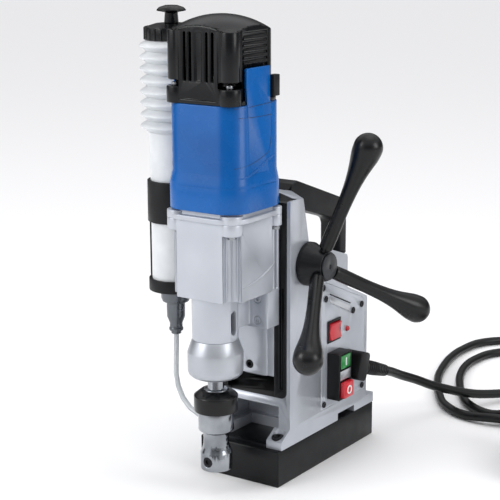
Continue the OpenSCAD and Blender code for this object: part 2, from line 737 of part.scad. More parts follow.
module bottle_holder() {
    color([0.10, 0.11, 0.12]) difference() {
        union() {
            translate([bottle_x, bottle_y, 229]) cylinder(r = 23.6, h = 37);
            translate([bottle_x, bottle_y, cup_z]) cylinder(r = 23.6, h = 11);
            // strut down the outside, and the arm to the gearbox
            block([bottle_x - 23, bottle_y - 6, cup_z + 1], [bottle_x - 20.4, bottle_y + 8, 240]);
            block([bottle_x, -97, 233], [-box_x - 0.1, -83, 245.6]);
        }
        translate([bottle_x, bottle_y, cup_z + 3]) cylinder(r = bottle_r + 0.1, h = 120);
        translate([bottle_x, bottle_y, 150]) cylinder(r = 13.4, h = 30);
    }
}

module coolant_bottle() {
    color([0.93, 0.94, 0.95]) translate([bottle_x, bottle_y, 0]) rotate_extrude()
        polygon([[0, cup_z], [13.2, cup_z], [13.2, cup_z + 3.1], [bottle_r, cup_z + 3.1], [bottle_r, 305],
                 [22, 306.4], [22, bellows_z], [18.8, bellows_z], [18.8, cup_z + 5], [0, cup_z + 5]]);
}

function bellows_profile(outer, inner, z0, z1, n) =
    let (p = (z1 - z0) / n)
    concat([for (i = [0 : n - 1], k = [0 : 1])
        [k == 0 ? inner : outer, z0 + p * (i + k / 2)]], [[inner, z1]]);

module bellows() {
    color([0.93, 0.94, 0.95]) translate([bottle_x, bottle_y, 0]) rotate_extrude()
        polygon(concat(bellows_profile(bellows_r, 22, bellows_z, pump_z, folds),
            [for (p = [for (q = bellows_profile(bellows_r - 1.6, 20.4, bellows_z, pump_z, folds)) q])
                [p[0], bellows_z + pump_z - p[1]]]));
}

module hose_connector() {
    color([0.55, 0.57, 0.6]) translate([bottle_x, bottle_y, 0]) rotate_extrude()
        polygon([[2, cup_z], [13.2, cup_z], [13.2, 158], [12, 154.5], [8.4, 153.5], [8.2, 140], [5.8, 134],
                 [5.8, 129.6], [6.4, 129.6], [6.4, 127], [4.6, 127], [4.6, 124], [2, 124]]);
}

hose_points = [
    [-70.2, -81, 124], [-70.4, -81, 111], [-70.8, -81.2, 98], [-70.4, -82, 86], [-67, -83.6, 75],
    [-60, -86, 65.5], [-50, -88.6, 58.5], [-39, -90.6, 55], [-28, -91.8, 54.6], [-18, -92.6, 58.5],
    [-11.6, -93, 65], [-9.2, -93, 72], [-9, -93, 76]];

module coolant_hose() {
    color([0.82, 0.86, 0.88]) tube(hose_points, 2.5, 8);
}

module coolant_ring() {
    color([0.10, 0.10, 0.11]) difference() {
        union() {
            translate([0, spindle_y, 0]) rotate_extrude()
                polygon([[ring_bore, 75.3], [19.2, 75.3], [19.2, 89.2], [13, 94], [ring_bore, 94]]);
            // inlet block at the back
            block([-14, -101, 76], [-4, -88.5, 88]);
        }
        translate([0, spindle_y, 70]) cylinder(r = ring_bore, h = 40);
        translate([-9, -93, 75]) cylinder(r = 1.6, h = 8);
    }
}

// ---------------------------------------------------------------- pump

module pump_cap() {
    color([0.10, 0.10, 0.11]) translate([bottle_x, bottle_y, pump_z]) {
        difference() {
            union() {
                cylinder(r = 23.6, h = 11);
                for (k = [0 : 23]) rotate([0, 0, 15 * k]) translate([23.4, 0, 0]) cylinder(r = 1.1, h = 10.4, $fn = 16);
                translate([0, 0, 10.9]) cylinder(r1 = 22.6, r2 = 14, h = 2.6);
            }
            translate([0, 0, -1]) cylinder(r = 19.6, h = 9);
            translate([0, 0, -1]) cylinder(r = 3, h = 20);
        }
    }
}

module pump_knob() {
    color([0.10, 0.10, 0.11]) translate([bottle_x, bottle_y, 0]) rotate_extrude() union() {
        polygon([[0, 394], [2.9, 394], [2.9, pump_z + 13.5], [6.4, pump_z + 13.5], [5.6, 412],
                 [12.4, 413.2], [13, 414], [10.5, 416.4], [5.5, 418], [0, 418.4]]);
    }
}

// ---------------------------------------------------------------- switches

module magnet_rocker() {
    color([0.82, 0.07, 0.15])
        side_slab_y(switch_y - 8.9, switch_y + 8.9, [[side_x - 8, rocker_z - 6.6], [side_x - 1, rocker_z - 7.6],
            [side_x + 3.8, rocker_z - 7.4], [side_x + 1.7, rocker_z], [side_x + 3.8, rocker_z + 7.4],
            [side_x - 1, rocker_z + 7.6], [side_x - 8, rocker_z + 6.6]]);
}

// an outline in X and Z, carried along Y from y0 to y1
module side_slab_y(y0, y1, points) {
    translate([0, y1, 0]) rotate([90, 0, 0]) linear_extrude(y1 - y0) polygon(points);
}

module start_button() {
    color([0.06, 0.6, 0.25])
        block([side_x + 4.6, switch_y - 8.2, 89], [side_x + 13.6, switch_y + 8.2, 101.6]);
}

module stop_button() {
    color([0.84, 0.07, 0.15])
        block([side_x + 4.6, switch_y - 8.2, 61.6], [side_x + 17.4, switch_y + 8.2, 76.4]);
}

// ---------------------------------------------------------------- turnstile

module lever_hub() {
    color([0.10, 0.11, 0.12]) difference() {
        translate([0, hub_y, hub_z]) rotate([0, 90, 0]) rotate_extrude()
            polygon([[0, side_x + 0.4], [19.5, side_x + 0.4], [19.5, side_x + 4], [15.6, side_x + 12],
                     [13, side_x + 21.5], [0, side_x + 21.5]]);
        x_rod(side_x - 1, side_x + 7, hub_y, hub_z, 7.02);
        for (a = lever_angles) at_lever(a) translate([0, 0, 7.5]) cylinder(r = 4.02, h = 20);
    }
}

// a lever's frame: root on the hub axis, +Z along the lever
module at_lever(a) {
    translate([lever_root_x, hub_y, hub_z]) rotate([a - 90, 0, 0]) rotate([0, lever_lean, 0]) children();
}

module hub_disc() {
    color([0.28, 0.30, 0.32]) difference() {
        x_rod(side_x + 21.5, side_x + 23.5, hub_y, hub_z, 12);
        translate([side_x + 22.5, hub_y, hub_z]) rotate([0, 90, 0]) cylinder(r = 2.2, h = 3, $fn = 6);
    }
}

module feed_lever(a) {
    color([0.09, 0.10, 0.11]) at_lever(a) union() {
        translate([0, 0, 7.6]) cylinder(r = 4, h = 12);
        rotate_extrude() union() {
            polygon([[0, 18], [5.8, 18], [6.5, 22], [6.1, 60], [6.9, 78], [9.2, 96], [11.6, 108],
                     [12.7, lever_l], [0, lever_l]]);
            intersection() {
                translate([0, lever_l]) circle(12.7);
                translate([0, lever_l - 0.01]) square([20, 20]);
            }
        }
    }
}

module feed_lever_1() { feed_lever(lever_angles[0]); }
module feed_lever_2() { feed_lever(lever_angles[1]); }
module feed_lever_3() { feed_lever(lever_angles[2]); }

module pinion_shaft() {
    color([0.6, 0.61, 0.63]) {
        x_rod(-34, -10, hub_y, hub_z, 6.95);
        x_rod(10, side_x + 6.8, hub_y, hub_z, 6.95);
        translate([-10, hub_y, hub_z]) rotate([90, 0, 90]) gear(feed_module, feed_teeth, 20);
    }
}

// ---------------------------------------------------------------- spindle and gears

module spindle_shaft() {
    color([0.66, 0.67, 0.69]) translate([0, spindle_y, 0]) difference() {
        union() {
            translate([0, 0, 108]) cylinder(r = 8.45, h = 94);
            translate([0, 0, 187]) gear(second_module, spindle_teeth, 13, second_angle);
        }
        translate([0, 0, 107]) cylinder(r = 5, h = 42);
    }
}

module tool_holder() {
    color([0.68, 0.69, 0.71]) translate([0, spindle_y, 0]) difference() {
        rotate_extrude()
            polygon([[0, holder_z], [13.3, holder_z], [13.9, holder_z + 0.6], [13.9, 37], [12.9, 39.4],
                     [11.9, 42], [11.3, 45], [11.1, 49], [11.3, 53], [12.2, 56], [15.5, 58], [15.5, 75],
                     [10.3, 75], [10.3, 95], [7, 95], [7, 107.9], [4.95, 107.9], [4.95, 146], [0, 146]]);
        translate([0, 0, holder_z - 1]) cylinder(r = socket_r, h = socket_d + 1);
        // coolant way from the ring to the socket
        translate([0, 0, holder_z]) cylinder(r = 2, h = 64);
        translate([0, 0, 83]) rotate([0, 90, 45]) translate([0, 0, -20]) cylinder(r = 2, h = 40);
        // holes of the two clamping screws
        for (a = holder_turns) rotate([90, 0, a]) translate([0, 30.6, 0]) cylinder(r = 4.52, h = 20);
    }
}

holder_turns = [0, -90];

module holder_screws() {
    color([0.1, 0.1, 0.11]) translate([0, spindle_y, 0]) for (a = holder_turns)
        rotate([90, 0, a]) translate([0, 30.6, 9.8]) difference() {
            cylinder(r = 4.5, h = 3.4);
            translate([0, 0, 1.4]) cylinder(r = 2.5, h = 4, $fn = 6);
        }
}

module countershaft() {
    // teeth stand in mesh with the spindle gear below and the rotor pinion above
    big_turn = first_angle + 180 + 180 / counter_teeth;
    small_turn = second_angle + 180 + 180 / counter_pinion_teeth;
    color([0.55, 0.56, 0.58]) translate([counter_x, counter_y, 0]) {
        translate([0, 0, box_z + 2]) cylinder(r = 4, h = 68.4);
        translate([0, 0, 185]) gear(second_module, counter_pinion_teeth, 17, small_turn);
        translate([0, 0, 214]) gear(first_module, counter_teeth, 10, big_turn);
    }
}

module rotor() {
    color([0.58, 0.5, 0.42]) translate([0, motor_y, 0]) {
        translate([0, 0, 210]) gear(first_module, rotor_teeth, 20, first_angle);
        translate([0, 0, 208]) cylinder(r = 3, h = 40);
        translate([0, 0, 230]) cylinder(r = 5, h = 157);
        translate([0, 0, 276]) cylinder(r = 22, h = 50);
        translate([0, 0, 340]) cylinder(r = 14, h = 24);
        // cooling fan
        translate([0, 0, 258]) {
            cylinder(r = 32, h = 2.5);
            cylinder(r = 9, h = 11);
            for (k = [0 : 11]) rotate([0, 0, 30 * k]) translate([8, -0.8, 0]) cube([23.5, 1.6, 11]);
        }
    }
}

// ---------------------------------------------------------------- all pieces

magnet_block();
magnet_coils();
coil_filler();
base_bolts();
column_housing();
guide_rails();
gib_strip();
carry_handle();
handle_studs();
control_panel();
panel_screws();
trim_plate();
switch_bezel();
status_lamp();
switch_box();
switch_label();
circuit_board();
pinion_bushes();
cable_outlet();
strain_relief();
power_cord();
cord_coil();
plug();
slide();
feed_rack();
slide_bracket();
bracket_screws();
gearbox_housing();
gearbox_flange();
flange_screws();
spindle_collar();
spindle_bearings();
motor_housing();
motor_cap();
cap_screws();
brush_covers();
carbon_brushes();
stator();
bottle_holder();
coolant_bottle();
bellows();
hose_connector();
coolant_hose();
coolant_ring();
pump_cap();
pump_knob();
magnet_rocker();
start_button();
stop_button();
lever_hub();
hub_disc();
feed_lever_1();
feed_lever_2();
feed_lever_3();
pinion_shaft();
spindle_shaft();
tool_holder();
holder_screws();
countershaft();
rotor();
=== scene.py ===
"""Look of a magnetic drill press, built around its CAD frame: camera, cord, finishes and pieces."""
import json
import logging
import math
from dataclasses import dataclass, field
from enum import Enum

import bmesh
import bpy
from mathutils import Matrix, Vector

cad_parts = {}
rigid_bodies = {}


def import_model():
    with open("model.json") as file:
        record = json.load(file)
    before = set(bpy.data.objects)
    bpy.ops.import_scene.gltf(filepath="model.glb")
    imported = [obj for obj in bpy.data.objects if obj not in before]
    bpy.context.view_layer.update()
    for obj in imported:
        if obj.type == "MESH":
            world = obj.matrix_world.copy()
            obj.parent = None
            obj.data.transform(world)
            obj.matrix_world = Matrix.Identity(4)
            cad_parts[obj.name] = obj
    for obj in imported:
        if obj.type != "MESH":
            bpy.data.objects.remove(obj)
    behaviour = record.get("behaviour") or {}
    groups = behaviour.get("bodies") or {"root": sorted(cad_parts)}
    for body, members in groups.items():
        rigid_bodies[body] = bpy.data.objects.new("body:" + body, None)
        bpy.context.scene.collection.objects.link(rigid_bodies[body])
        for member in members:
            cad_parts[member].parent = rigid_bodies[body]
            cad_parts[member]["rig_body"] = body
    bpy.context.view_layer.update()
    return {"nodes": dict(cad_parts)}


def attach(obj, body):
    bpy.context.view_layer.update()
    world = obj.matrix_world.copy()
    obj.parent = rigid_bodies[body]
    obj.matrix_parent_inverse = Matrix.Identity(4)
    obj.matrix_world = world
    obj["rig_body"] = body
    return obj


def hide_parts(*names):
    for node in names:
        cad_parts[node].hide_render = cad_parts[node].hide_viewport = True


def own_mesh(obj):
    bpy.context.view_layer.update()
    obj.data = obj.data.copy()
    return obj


LOG = logging.getLogger("drill_press")
MM = 0.001

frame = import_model()


# ------------------------------------------------------------------ small helpers


def linear(code: str, alpha: float = 1.0) -> tuple[float, float, float, float]:
    """Turn an sRGB hex colour into linear light.

    Args:
        code: Six hex digits.
        alpha: Opacity to carry along.

    Returns:
        Red, green, blue and alpha.
    """
    parts = [int(code[i:i + 2], 16) / 255 for i in (0, 2, 4)]
    r, g, b = [c / 12.92 if c <= 0.04045 else ((c + 0.055) / 1.055) ** 2.4 for c in parts]
    return r, g, b, alpha


def add(tree: bpy.types.NodeTree, kind: str, settings: dict | None = None,
        links: dict | None = None) -> bpy.types.Node:
    """Add one shader node.

    Args:
        tree: Node tree that gets the node.
        kind: Blender's name of the node type, without "ShaderNode".
        settings: Attribute or socket values by name; sockets may also be given by index.
        links: Sockets that feed this node's inputs, by input name or index.

    Returns:
        The new node.
    """
    node = tree.nodes.new("ShaderNode" + kind)
    for key, value in (settings or {}).items():
        if isinstance(key, int) or key in node.inputs:
            node.inputs[key].default_value = value
        else:
            setattr(node, key, value)
    for key, source in (links or {}).items():
        tree.links.new(source, node.inputs[key])
    return node


def placed(name: str, data: bpy.types.ID) -> bpy.types.Object:
    """Put a mesh, curve, camera or light into the scene.

    Args:
        name: Name of the object.
        data: What it shows.

    Returns:
        The new object.
    """
    obj = bpy.data.objects.new(name, data)
    bpy.context.scene.collection.objects.link(obj)
    return obj


class Family(Enum):
    """How the surface of a finish was made."""

    PAINTED = "painted casting"
    MOULDED = "moulded plastic"
    MACHINED = "machined metal"
    CLEAR = "clear or milky plastic"


@dataclass(frozen=True)
class Finish:
    """A material, from what the real one is.

    Attributes:
        name: Common name of the material and how it was made.
        slot: Material slot in the record.
        family: How its surface was made.
        colour: Main colour.
        shade: Colour of its darker or duller patches.
        roughness: Typical roughness.
        metallic: 1 for bare metal.
        ior: Index of refraction of what isn't metal.
        coat: Strength of a clear coat.
        grain_mm: Size of the surface's grain.
        grain: Height of the grain, as bump strength.
        mottle_mm: Size of the patches.
        wear: How far edges are rubbed lighter, from 0 to 1.
        wear_colour: What shows at rubbed edges.
        clear: Share of light that goes through.
        round_mm: Radius that edges catch the light with.
        specular: Level of its mirror reflection, 0.5 for a plain one.
    """

    name: str
    slot: str
    family: Family
    colour: str
    shade: str
    roughness: float
    metallic: float = 0.0
    ior: float = 1.5
    coat: float = 0.0
    grain_mm: float = 0.6
    grain: float = 0.1
    mottle_mm: float = 30.0
    wear: float = 0.0
    wear_colour: str = "D9DCE0"
    clear: float = 0.0
    round_mm: float = 0.35
    specular: float = 0.5

    def make(self) -> bpy.types.Material:
        """Build the material once and hand it out again after that.

        Returns:
            The Blender material.
        """
        known = bpy.data.materials.get(self.name)
        if known:
            return known
        mat = bpy.data.materials.new(self.name)
        mat.use_nodes = True
        tree = mat.node_tree
        tree.nodes.clear()
        place = add(tree, "TexCoord").outputs["Object"]
        grain = self.grain_source(tree, place)
        colour = self.colour_source(tree, place)
        rough = self.roughness_source(tree, place)
        soft_edge = add(tree, "Bevel", {"samples": 4, "Radius": self.round_mm * MM})
        bump = add(tree, "Bump", {"Strength": self.grain, "Distance": 0.2 * MM},
                   {"Height": grain, "Normal": soft_edge.outputs["Normal"]})
        shader = add(tree, "BsdfPrincipled", {
            "Metallic": self.metallic, "IOR": self.ior, "Coat Weight": self.coat,
            "Coat Roughness": 0.06, "Transmission Weight": self.clear, "Specular IOR Level": self.specular,
        }, {"Base Color": colour, "Roughness": rough, "Normal": bump.outputs["Normal"]})
        if self.family is Family.CLEAR and self.slot == "bottle_plastic":
            shader.inputs["Subsurface Weight"].default_value = 0.35
            shader.inputs["Subsurface Radius"].default_value = (1.0, 1.0, 1.0)
            shader.inputs["Subsurface Scale"].default_value = 4 * MM
        add(tree, "OutputMaterial", links={"Surface": shader.outputs["BSDF"]})
        return mat

    def grain_source(self, tree: bpy.types.NodeTree, place: bpy.types.NodeSocket) -> bpy.types.NodeSocket:
        """Height of the surface's own grain.

        Args:
            tree: Node tree to build in.
            place: Object coordinates.

        Returns:
            A socket with the height.
        """
        scale = 1 / (self.grain_mm * MM)
        if self.family is Family.MACHINED:
            turned = add(tree, "Mapping", {"Scale": (0.06, 0.06, 1.0)}, {"Vector": place})
            return add(tree, "TexNoise", {"Scale": scale, "Detail": 3.0, "Roughness": 0.6},
                       {"Vector": turned.outputs["Vector"]}).outputs["Fac"]
        if self.family is Family.MOULDED:
            cells = add(tree, "TexVoronoi", {"Scale": scale, "Randomness": 1.0}, {"Vector": place})
            fine = add(tree, "TexNoise", {"Scale": scale * 2.3, "Detail": 2.0}, {"Vector": place})
            return add(tree, "Math", {"operation": "MULTIPLY_ADD", 1: 0.5},
                       {0: cells.outputs["Distance"], 2: fine.outputs["Fac"]}).outputs[0]
        return add(tree, "TexNoise", {"Scale": scale, "Detail": 4.0, "Roughness": 0.55},
                   {"Vector": place}).outputs["Fac"]

    def colour_source(self, tree: bpy.types.NodeTree, place: bpy.types.NodeSocket) -> bpy.types.NodeSocket:
        """Main colour with duller patches, and rubbed edges where the finish has them.

        Args:
            tree: Node tree to build in.
            place: Object coordinates.

        Returns:
            A socket with the colour.
        """
        patch = add(tree, "TexNoise", {"Scale": 1 / (self.mottle_mm * MM), "Detail": 3.0},
                    {"Vector": place})
        tone = add(tree, "ValToRGB", links={"Fac": patch.outputs["Fac"]})
        tone.color_ramp.elements[0].position, tone.color_ramp.elements[1].position = 0.3, 0.7
        tone.color_ramp.elements[0].color = linear(self.shade)
        tone.color_ramp.elements[1].color = linear(self.colour)
        if not self.wear:
            return tone.outputs["Color"]
        wide = add(tree, "Bevel", {"samples": 4, "Radius": 0.9 * MM})
        flat = add(tree, "NewGeometry")
        match = add(tree, "VectorMath", {"operation": "DOT_PRODUCT"},
                    {0: wide.outputs["Normal"], 1: flat.outputs["Normal"]})
        scratch = add(tree, "TexNoise", {"Scale": 1 / (1.6 * MM), "Detail": 5.0}, {"Vector": place})
        worn = add(tree, "MapRange", {"From Min": 0.995, "From Max": 0.86, "To Min": 0.0,
                                      "To Max": self.wear}, {"Value": match.outputs["Value"]})
        amount = add(tree, "Math", {"operation": "MULTIPLY", "use_clamp": True},
                     {0: worn.outputs["Result"], 1: scratch.outputs["Fac"]})
        mix = add(tree, "Mix", {"data_type": "RGBA"}, {"Factor": amount.outputs[0]})
        tree.links.new(tone.outputs["Color"], mix.inputs[6])
        mix.inputs[7].default_value = linear(self.wear_colour)
        return mix.outputs[2]

    def roughness_source(self, tree: bpy.types.NodeTree, place: bpy.types.NodeSocket) -> bpy.types.NodeSocket:
        """Roughness that varies a little, as handling leaves it.

        Args:
            tree: Node tree to build in.
            place: Object coordinates.

        Returns:
            A socket with the roughness.
        """
        smear = add(tree, "TexNoise", {"Scale": 1 / (14 * MM), "Detail": 4.0}, {"Vector": place})
        return add(tree, "MapRange", {"From Min": 0.3, "From Max": 0.7, "To Min": self.roughness * 0.82,
                                      "To Max": min(1.0, self.roughness * 1.18)},
                   {"Value": smear.outputs["Fac"]}).outputs["Result"]


# Silver-grey powder coat on an aluminium casting: a fine orange-peel skin, soft broad highlights.
CASTING = Finish("powder coated aluminium casting", "cast_silver", Family.PAINTED, "BBBFC7", "B0B5BD", 0.34,
                 metallic=0.4, grain_mm=0.9, grain=0.25, mottle_mm=45, wear=0.35, coat=0.1)
# Glossy blue ABS of the motor shell: deep colour, clear sharp highlights over a faint moulding skin.
SHELL_BLUE = Finish("glossy blue ABS", "motor_blue", Family.MOULDED, "045CA8", "034E92", 0.26,
                    ior=1.45, coat=0.06, specular=0.3, grain_mm=0.7, grain=0.04, mottle_mm=60)
# The same ABS darkened as painted shade for the seams of the shell, where little light gets in.
SEAM_SHADE_BLUE = Finish("blue ABS darkened as painted seam shade", "motor_blue", Family.MOULDED, "03244A", "021E3E", 0.4, grain=0.04)
# White ink marks moulded into the switch buttons.
MARK_WHITE = Finish("white moulded mark", "label_silver", Family.MOULDED, "E9EBEA", "DDDFDE", 0.4, grain=0.06)
# Black ABS of the motor cap, polished mould: dark mirror-like facets.
CAP_BLACK = Finish("polished black ABS", "cap_black", Family.MOULDED, "0A0C0E", "060709", 0.25,
                   ior=1.45, coat=0.04, specular=0.3, grain_mm=0.7, grain=0.05)
# Spark-eroded black nylon: a fine leathery grain that spreads the light.
NYLON = Finish("textured black nylon", "soft_black", Family.MOULDED, "0D0F11", "090A0C", 0.45, specular=0.25,
               grain_mm=0.8, grain=0.3, mottle_mm=20)
# Black satin paint on the steel magnet foot: scuffed, lighter along its edges.
FOOT_PAINT = Finish("black satin paint on steel", "magnet_paint", Family.PAINTED, "0C0E10", "07090A", 0.36,
                    specular=0.25, grain_mm=0.7, grain=0.12, mottle_mm=24, wear=0.4, wear_colour="6C7176")
# Phenolic resin of the lever arms and balls: jet black, polished, very crisp highlights.
PHENOLIC = Finish("polished black phenolic resin", "lever_black", Family.MOULDED, "08090B", "050607", 0.3,
                  ior=1.45, coat=0.03, specular=0.35, grain_mm=1.2, grain=0.03)
# Blackened steel of hub and slideways: oil-dark with a dull sheen.
BLACK_STEEL = Finish("black oxide steel", "black_steel", Family.MACHINED, "101215", "0B0D0F", 0.36,
                     specular=0.3, metallic=0.2, grain_mm=0.4, grain=0.12, wear=0.5, wear_colour="8E9296")
# Grey anodised disc on the turnstile's hub.
HUB_GREY = Finish("grey anodised aluminium", "black_steel", Family.MACHINED, "26292D", "1E2124", 0.36,
                  metallic=0.3, grain_mm=0.3, grain=0.1)
# Painted shade: near-black colour inside the column's guide channel and along the trim plate's slit, plain, a
# little dusty.
CHANNEL_SHADE_BLACK = Finish("casting darkened as painted channel shade", "cast_silver", Family.PAINTED, "0F1113", "0B0C0E", 0.42,
                       grain_mm=0.8, grain=0.15)
# Milled steel of the slide: grey, with fine lengthwise tool marks.
GREY_STEEL = Finish("milled steel", "dark_steel", Family.MACHINED, "6D7074", "5C5F63", 0.36,
                    metallic=0.85, grain_mm=0.4, grain=0.16, wear=0.3)
# Turned steel of the quill collar: pale grey with rings left by the lathe.
TURNED_STEEL = Finish("turned steel", "steel", Family.MACHINED, "B9BDC3", "AAAEB5", 0.36,
                      metallic=0.75, grain_mm=0.35, grain=0.14)
# Polished chromium steel of the cutter holder: bright, high contrast reflections.
CHROME_STEEL = Finish("polished alloy steel", "polished_steel", Family.MACHINED, "B0B4B9", "74787D", 0.16,
                      metallic=1.0, grain_mm=0.35, grain=0.05)
# Zinc-plated small screws.
ZINC = Finish("zinc plated steel", "steel", Family.MACHINED, "9DA0A3", "8A8D90", 0.28, metallic=1.0,
              grain_mm=0.3, grain=0.1)
# Black phosphated socket screws.
SCREW_BLACK = Finish("phosphated screw steel", "black_steel", Family.MACHINED, "24262A", "1A1B1E", 0.42,
                     metallic=0.7, grain_mm=0.3, grain=0.12)
# Low-density polyethylene of the coolant bottle and its bellows: milky, waxy, light soaks in.
MILKY = Finish("milky polyethylene", "bottle_plastic", Family.CLEAR, "DFE2E4", "D2D6D9", 0.34,
               ior=1.51, grain_mm=1.0, grain=0.06, mottle_mm=18)
# Clear PVC of the coolant hose.
HOSE_CLEAR = Finish("clear PVC tubing", "hose_clear", Family.CLEAR, "D5DADD", "C9CED2", 0.2,
                    ior=1.53, clear=0.45, grain_mm=1.0, grain=0.03)
# Grey nickel-plated brass of the hose's screwed connector.
CONNECTOR = Finish("nickel plated brass", "connector_grey", Family.MACHINED, "6C7075", "5C6064", 0.3,
                   metallic=0.9, grain_mm=0.3, grain=0.1)
# Black anodised ring that feeds coolant to the spindle.
RING = Finish("black anodised aluminium", "ring_black", Family.MACHINED, "0A0B0D", "070809", 0.22,
              specular=0.35, metallic=0.1, grain_mm=0.3, grain=0.1, wear=0.3, wear_colour="7F8388")
# Red polycarbonate of rocker and stop button.
SIGNAL_RED = Finish("moulded red polycarbonate", "signal_red", Family.MOULDED, "CC0A22", "B3081C", 0.3,
                    ior=1.58, coat=0.2, grain_mm=0.8, grain=0.05)
# Green polycarbonate of the start button.
SIGNAL_GREEN = Finish("moulded green polycarbonate", "signal_green", Family.MOULDED, "058A38", "04772F", 0.3,
                      ior=1.58, coat=0.2, grain_mm=0.8, grain=0.05)
# Black ABS of the switch box and its bezel.
SWITCH_BLACK = Finish("satin black ABS", "switch_black", Family.MOULDED, "0B0D0F", "07090A", 0.34,
                      specular=0.3, grain_mm=0.6, grain=0.12)
# Brushed aluminium of trim plate and switch label.
BRUSHED = Finish("brushed aluminium sheet", "label_silver", Family.MACHINED, "C8CBCF", "BCBFC4", 0.32,
                 metallic=0.9, grain_mm=0.3, grain=0.12)
# PVC jacket of the mains cord: dull black, slightly greasy highlights.
CORD_PVC = Finish("black PVC cord jacket", "cord_rubber", Family.MOULDED, "090A0B", "060707", 0.34,
                  specular=0.3, grain_mm=0.5, grain=0.12)
# Sintered bronze of the pinion's bushes.
BRONZE = Finish("sintered bronze", "bronze", Family.MACHINED, "A9783C", "8E6431", 0.38, metallic=1.0,
                grain_mm=0.4, grain=0.15)
# Enamelled winding wire: copper under a varnish, turns showing as fine lines.
WINDING = Finish("enamelled copper wire", "copper_wire", Family.MACHINED, "A8562A", "8C4521", 0.35,
                 metallic=0.8, grain_mm=0.9, grain=0.6, coat=0.3)
# Cast resin that seals the magnet's coils.
POTTING = Finish("cast epoxy resin", "coil_resin", Family.PAINTED, "3A3F3A", "30342F", 0.45, grain_mm=2.0,
                 grain=0.1)
# Glass-fibre circuit board and its parts.
BOARD = Finish("green glass-fibre laminate", "board", Family.PAINTED, "1F5E35", "184A2A", 0.45, grain_mm=0.5,
               grain=0.2)
# Pressed carbon of the brushes.
CARBON = Finish("pressed carbon", "carbon", Family.PAINTED, "2B2B2D", "202022", 0.6, grain_mm=0.4, grain=0.3)
# Stacked electrical steel of the motor's iron.
LAMINATED = Finish("laminated electrical steel", "iron_core", Family.MACHINED, "77797C", "5F6164", 0.45,
                   metallic=0.8, grain_mm=0.5, grain=0.5)

NODE_FINISH = {
    "magnet_block": FOOT_PAINT, "magnet_coils": WINDING, "coil_filler": POTTING, "base_bolts": SCREW_BLACK,
    "column_housing": CASTING, "guide_rails": BLACK_STEEL, "gib_strip": BRONZE, "carry_handle": NYLON,
    "handle_studs": ZINC, "control_panel": CASTING, "panel_screws": SCREW_BLACK, "trim_plate": BRUSHED,
    "switch_bezel": SWITCH_BLACK, "status_lamp": SIGNAL_RED, "switch_box": SWITCH_BLACK,
    "switch_label": BRUSHED, "circuit_board": BOARD, "pinion_bushes": BRONZE, "cable_outlet": NYLON,
    "slide": CASTING, "feed_rack": GREY_STEEL, "slide_bracket": CASTING, "bracket_screws": CASTING,
    "gearbox_housing": CASTING, "gearbox_flange": CASTING, "flange_screws": ZINC,
    "spindle_bearings": TURNED_STEEL, "motor_housing": SHELL_BLUE,
    "motor_cap": CAP_BLACK, "cap_screws": ZINC, "brush_covers": NYLON, "carbon_brushes": CARBON,
    "stator": LAMINATED, "bottle_holder": NYLON,
    "hose_connector": CONNECTOR, "coolant_hose": HOSE_CLEAR, "coolant_ring": RING, "pump_cap": CAP_BLACK,
    "pump_knob": CAP_BLACK, "magnet_rocker": SIGNAL_RED, "start_button": SIGNAL_GREEN,
    "stop_button": SIGNAL_RED, "lever_hub": BLACK_STEEL, "hub_disc": HUB_GREY, "pinion_shaft": TURNED_STEEL,
    "spindle_shaft": TURNED_STEEL, "tool_holder": CHROME_STEEL, "holder_screws": SCREW_BLACK,
    "countershaft": TURNED_STEEL, "rotor": LAMINATED,
}

# width of the rounded edge on each softened solid, in mm; the rest get SOFT_EDGE
SOFT_EDGE = 0.35
EDGE = {
    "magnet_block": 1.0, "column_housing": 0.8, "carry_handle": 1.6, "control_panel": 0.4,
    "gearbox_housing": 1.4, "gearbox_flange": 0.5, "slide_bracket": 1.2, "bottle_holder": 1.2,
    "motor_housing": 0.8, "motor_cap": 1.0, "cable_outlet": 1.2, "switch_box": 0.9, "pump_knob": 0.8,
    "pump_cap": 0.6, "coolant_ring": 0.6, "tool_holder": 0.5, "lever_hub": 0.6,
    "stop_button": 0.9, "start_button": 0.6, "magnet_rocker": 0.5, "brush_covers": 0.8,
}

# how a CAD node's loose triangles are merged, and which edges are then rounded
MERGE_GAP = 0.004 * MM
FLAT_DEGREES = 0.6
EDGE_DEGREES = 38
# a rounded copy is kept only if it grows less than this, and its volume changes by a smaller share than this
GROWTH_ALLOWED = 0.02 * MM
VOLUME_CHANGE_ALLOWED = 0.03

# box inside the column's guide channel whose faces get painted shade, in mm: half its width, its reach along
# Y, and its height
CHANNEL_HALF = 38.6
CHANNEL_REACH = (-64.2, -20.0)
CHANNEL_HEIGHT = (66.5, 253.5)


def clear_selection() -> None:
    """Deselect everything, so that an operator acts on what is selected next alone."""
    for obj in bpy.context.selected_objects:
        obj.select_set(False)


def take(obj: bpy.types.Object) -> None:
    """Make one object the only selected and active one.

    Args:
        obj: Object to take hold of.
    """
    clear_selection()
    obj.select_set(True)
    bpy.context.view_layer.objects.active = obj


def apply_modifiers(obj: bpy.types.Object) -> None:
    """Apply each modifier of an object, in order.

    Args:
        obj: Object whose modifiers are applied.
    """
    take(obj)
    for name in [m.name for m in obj.modifiers]:
        bpy.ops.object.modifier_apply(modifier=name)


def shade(obj: bpy.types.Object, degrees: float = 35) -> None:
    """Shade a piece smooth up to an angle.

    Args:
        obj: Piece to shade.
        degrees: Edges sharper than this stay crisp.
    """
    take(obj)
    bpy.ops.object.shade_smooth_by_angle(angle=math.radians(degrees))


def finish_piece(obj: bpy.types.Object, finish: Finish, body: str, *nodes: str) -> bpy.types.Object:
    """Dress a piece, put it on its body and let it stand for CAD nodes.

    Args:
        obj: The piece, with its place in its mesh.
        finish: Its material.
        body: Body that it moves with.
        nodes: CAD nodes that it replaces.

    Returns:
        The piece.
    """
    obj.data.materials.clear()
    obj.data.materials.append(finish.make())
    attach(obj, body)
    if nodes:
        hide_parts(*nodes)
    LOG.info("%s on %s, %s", obj.name, body, finish.name)
    return obj


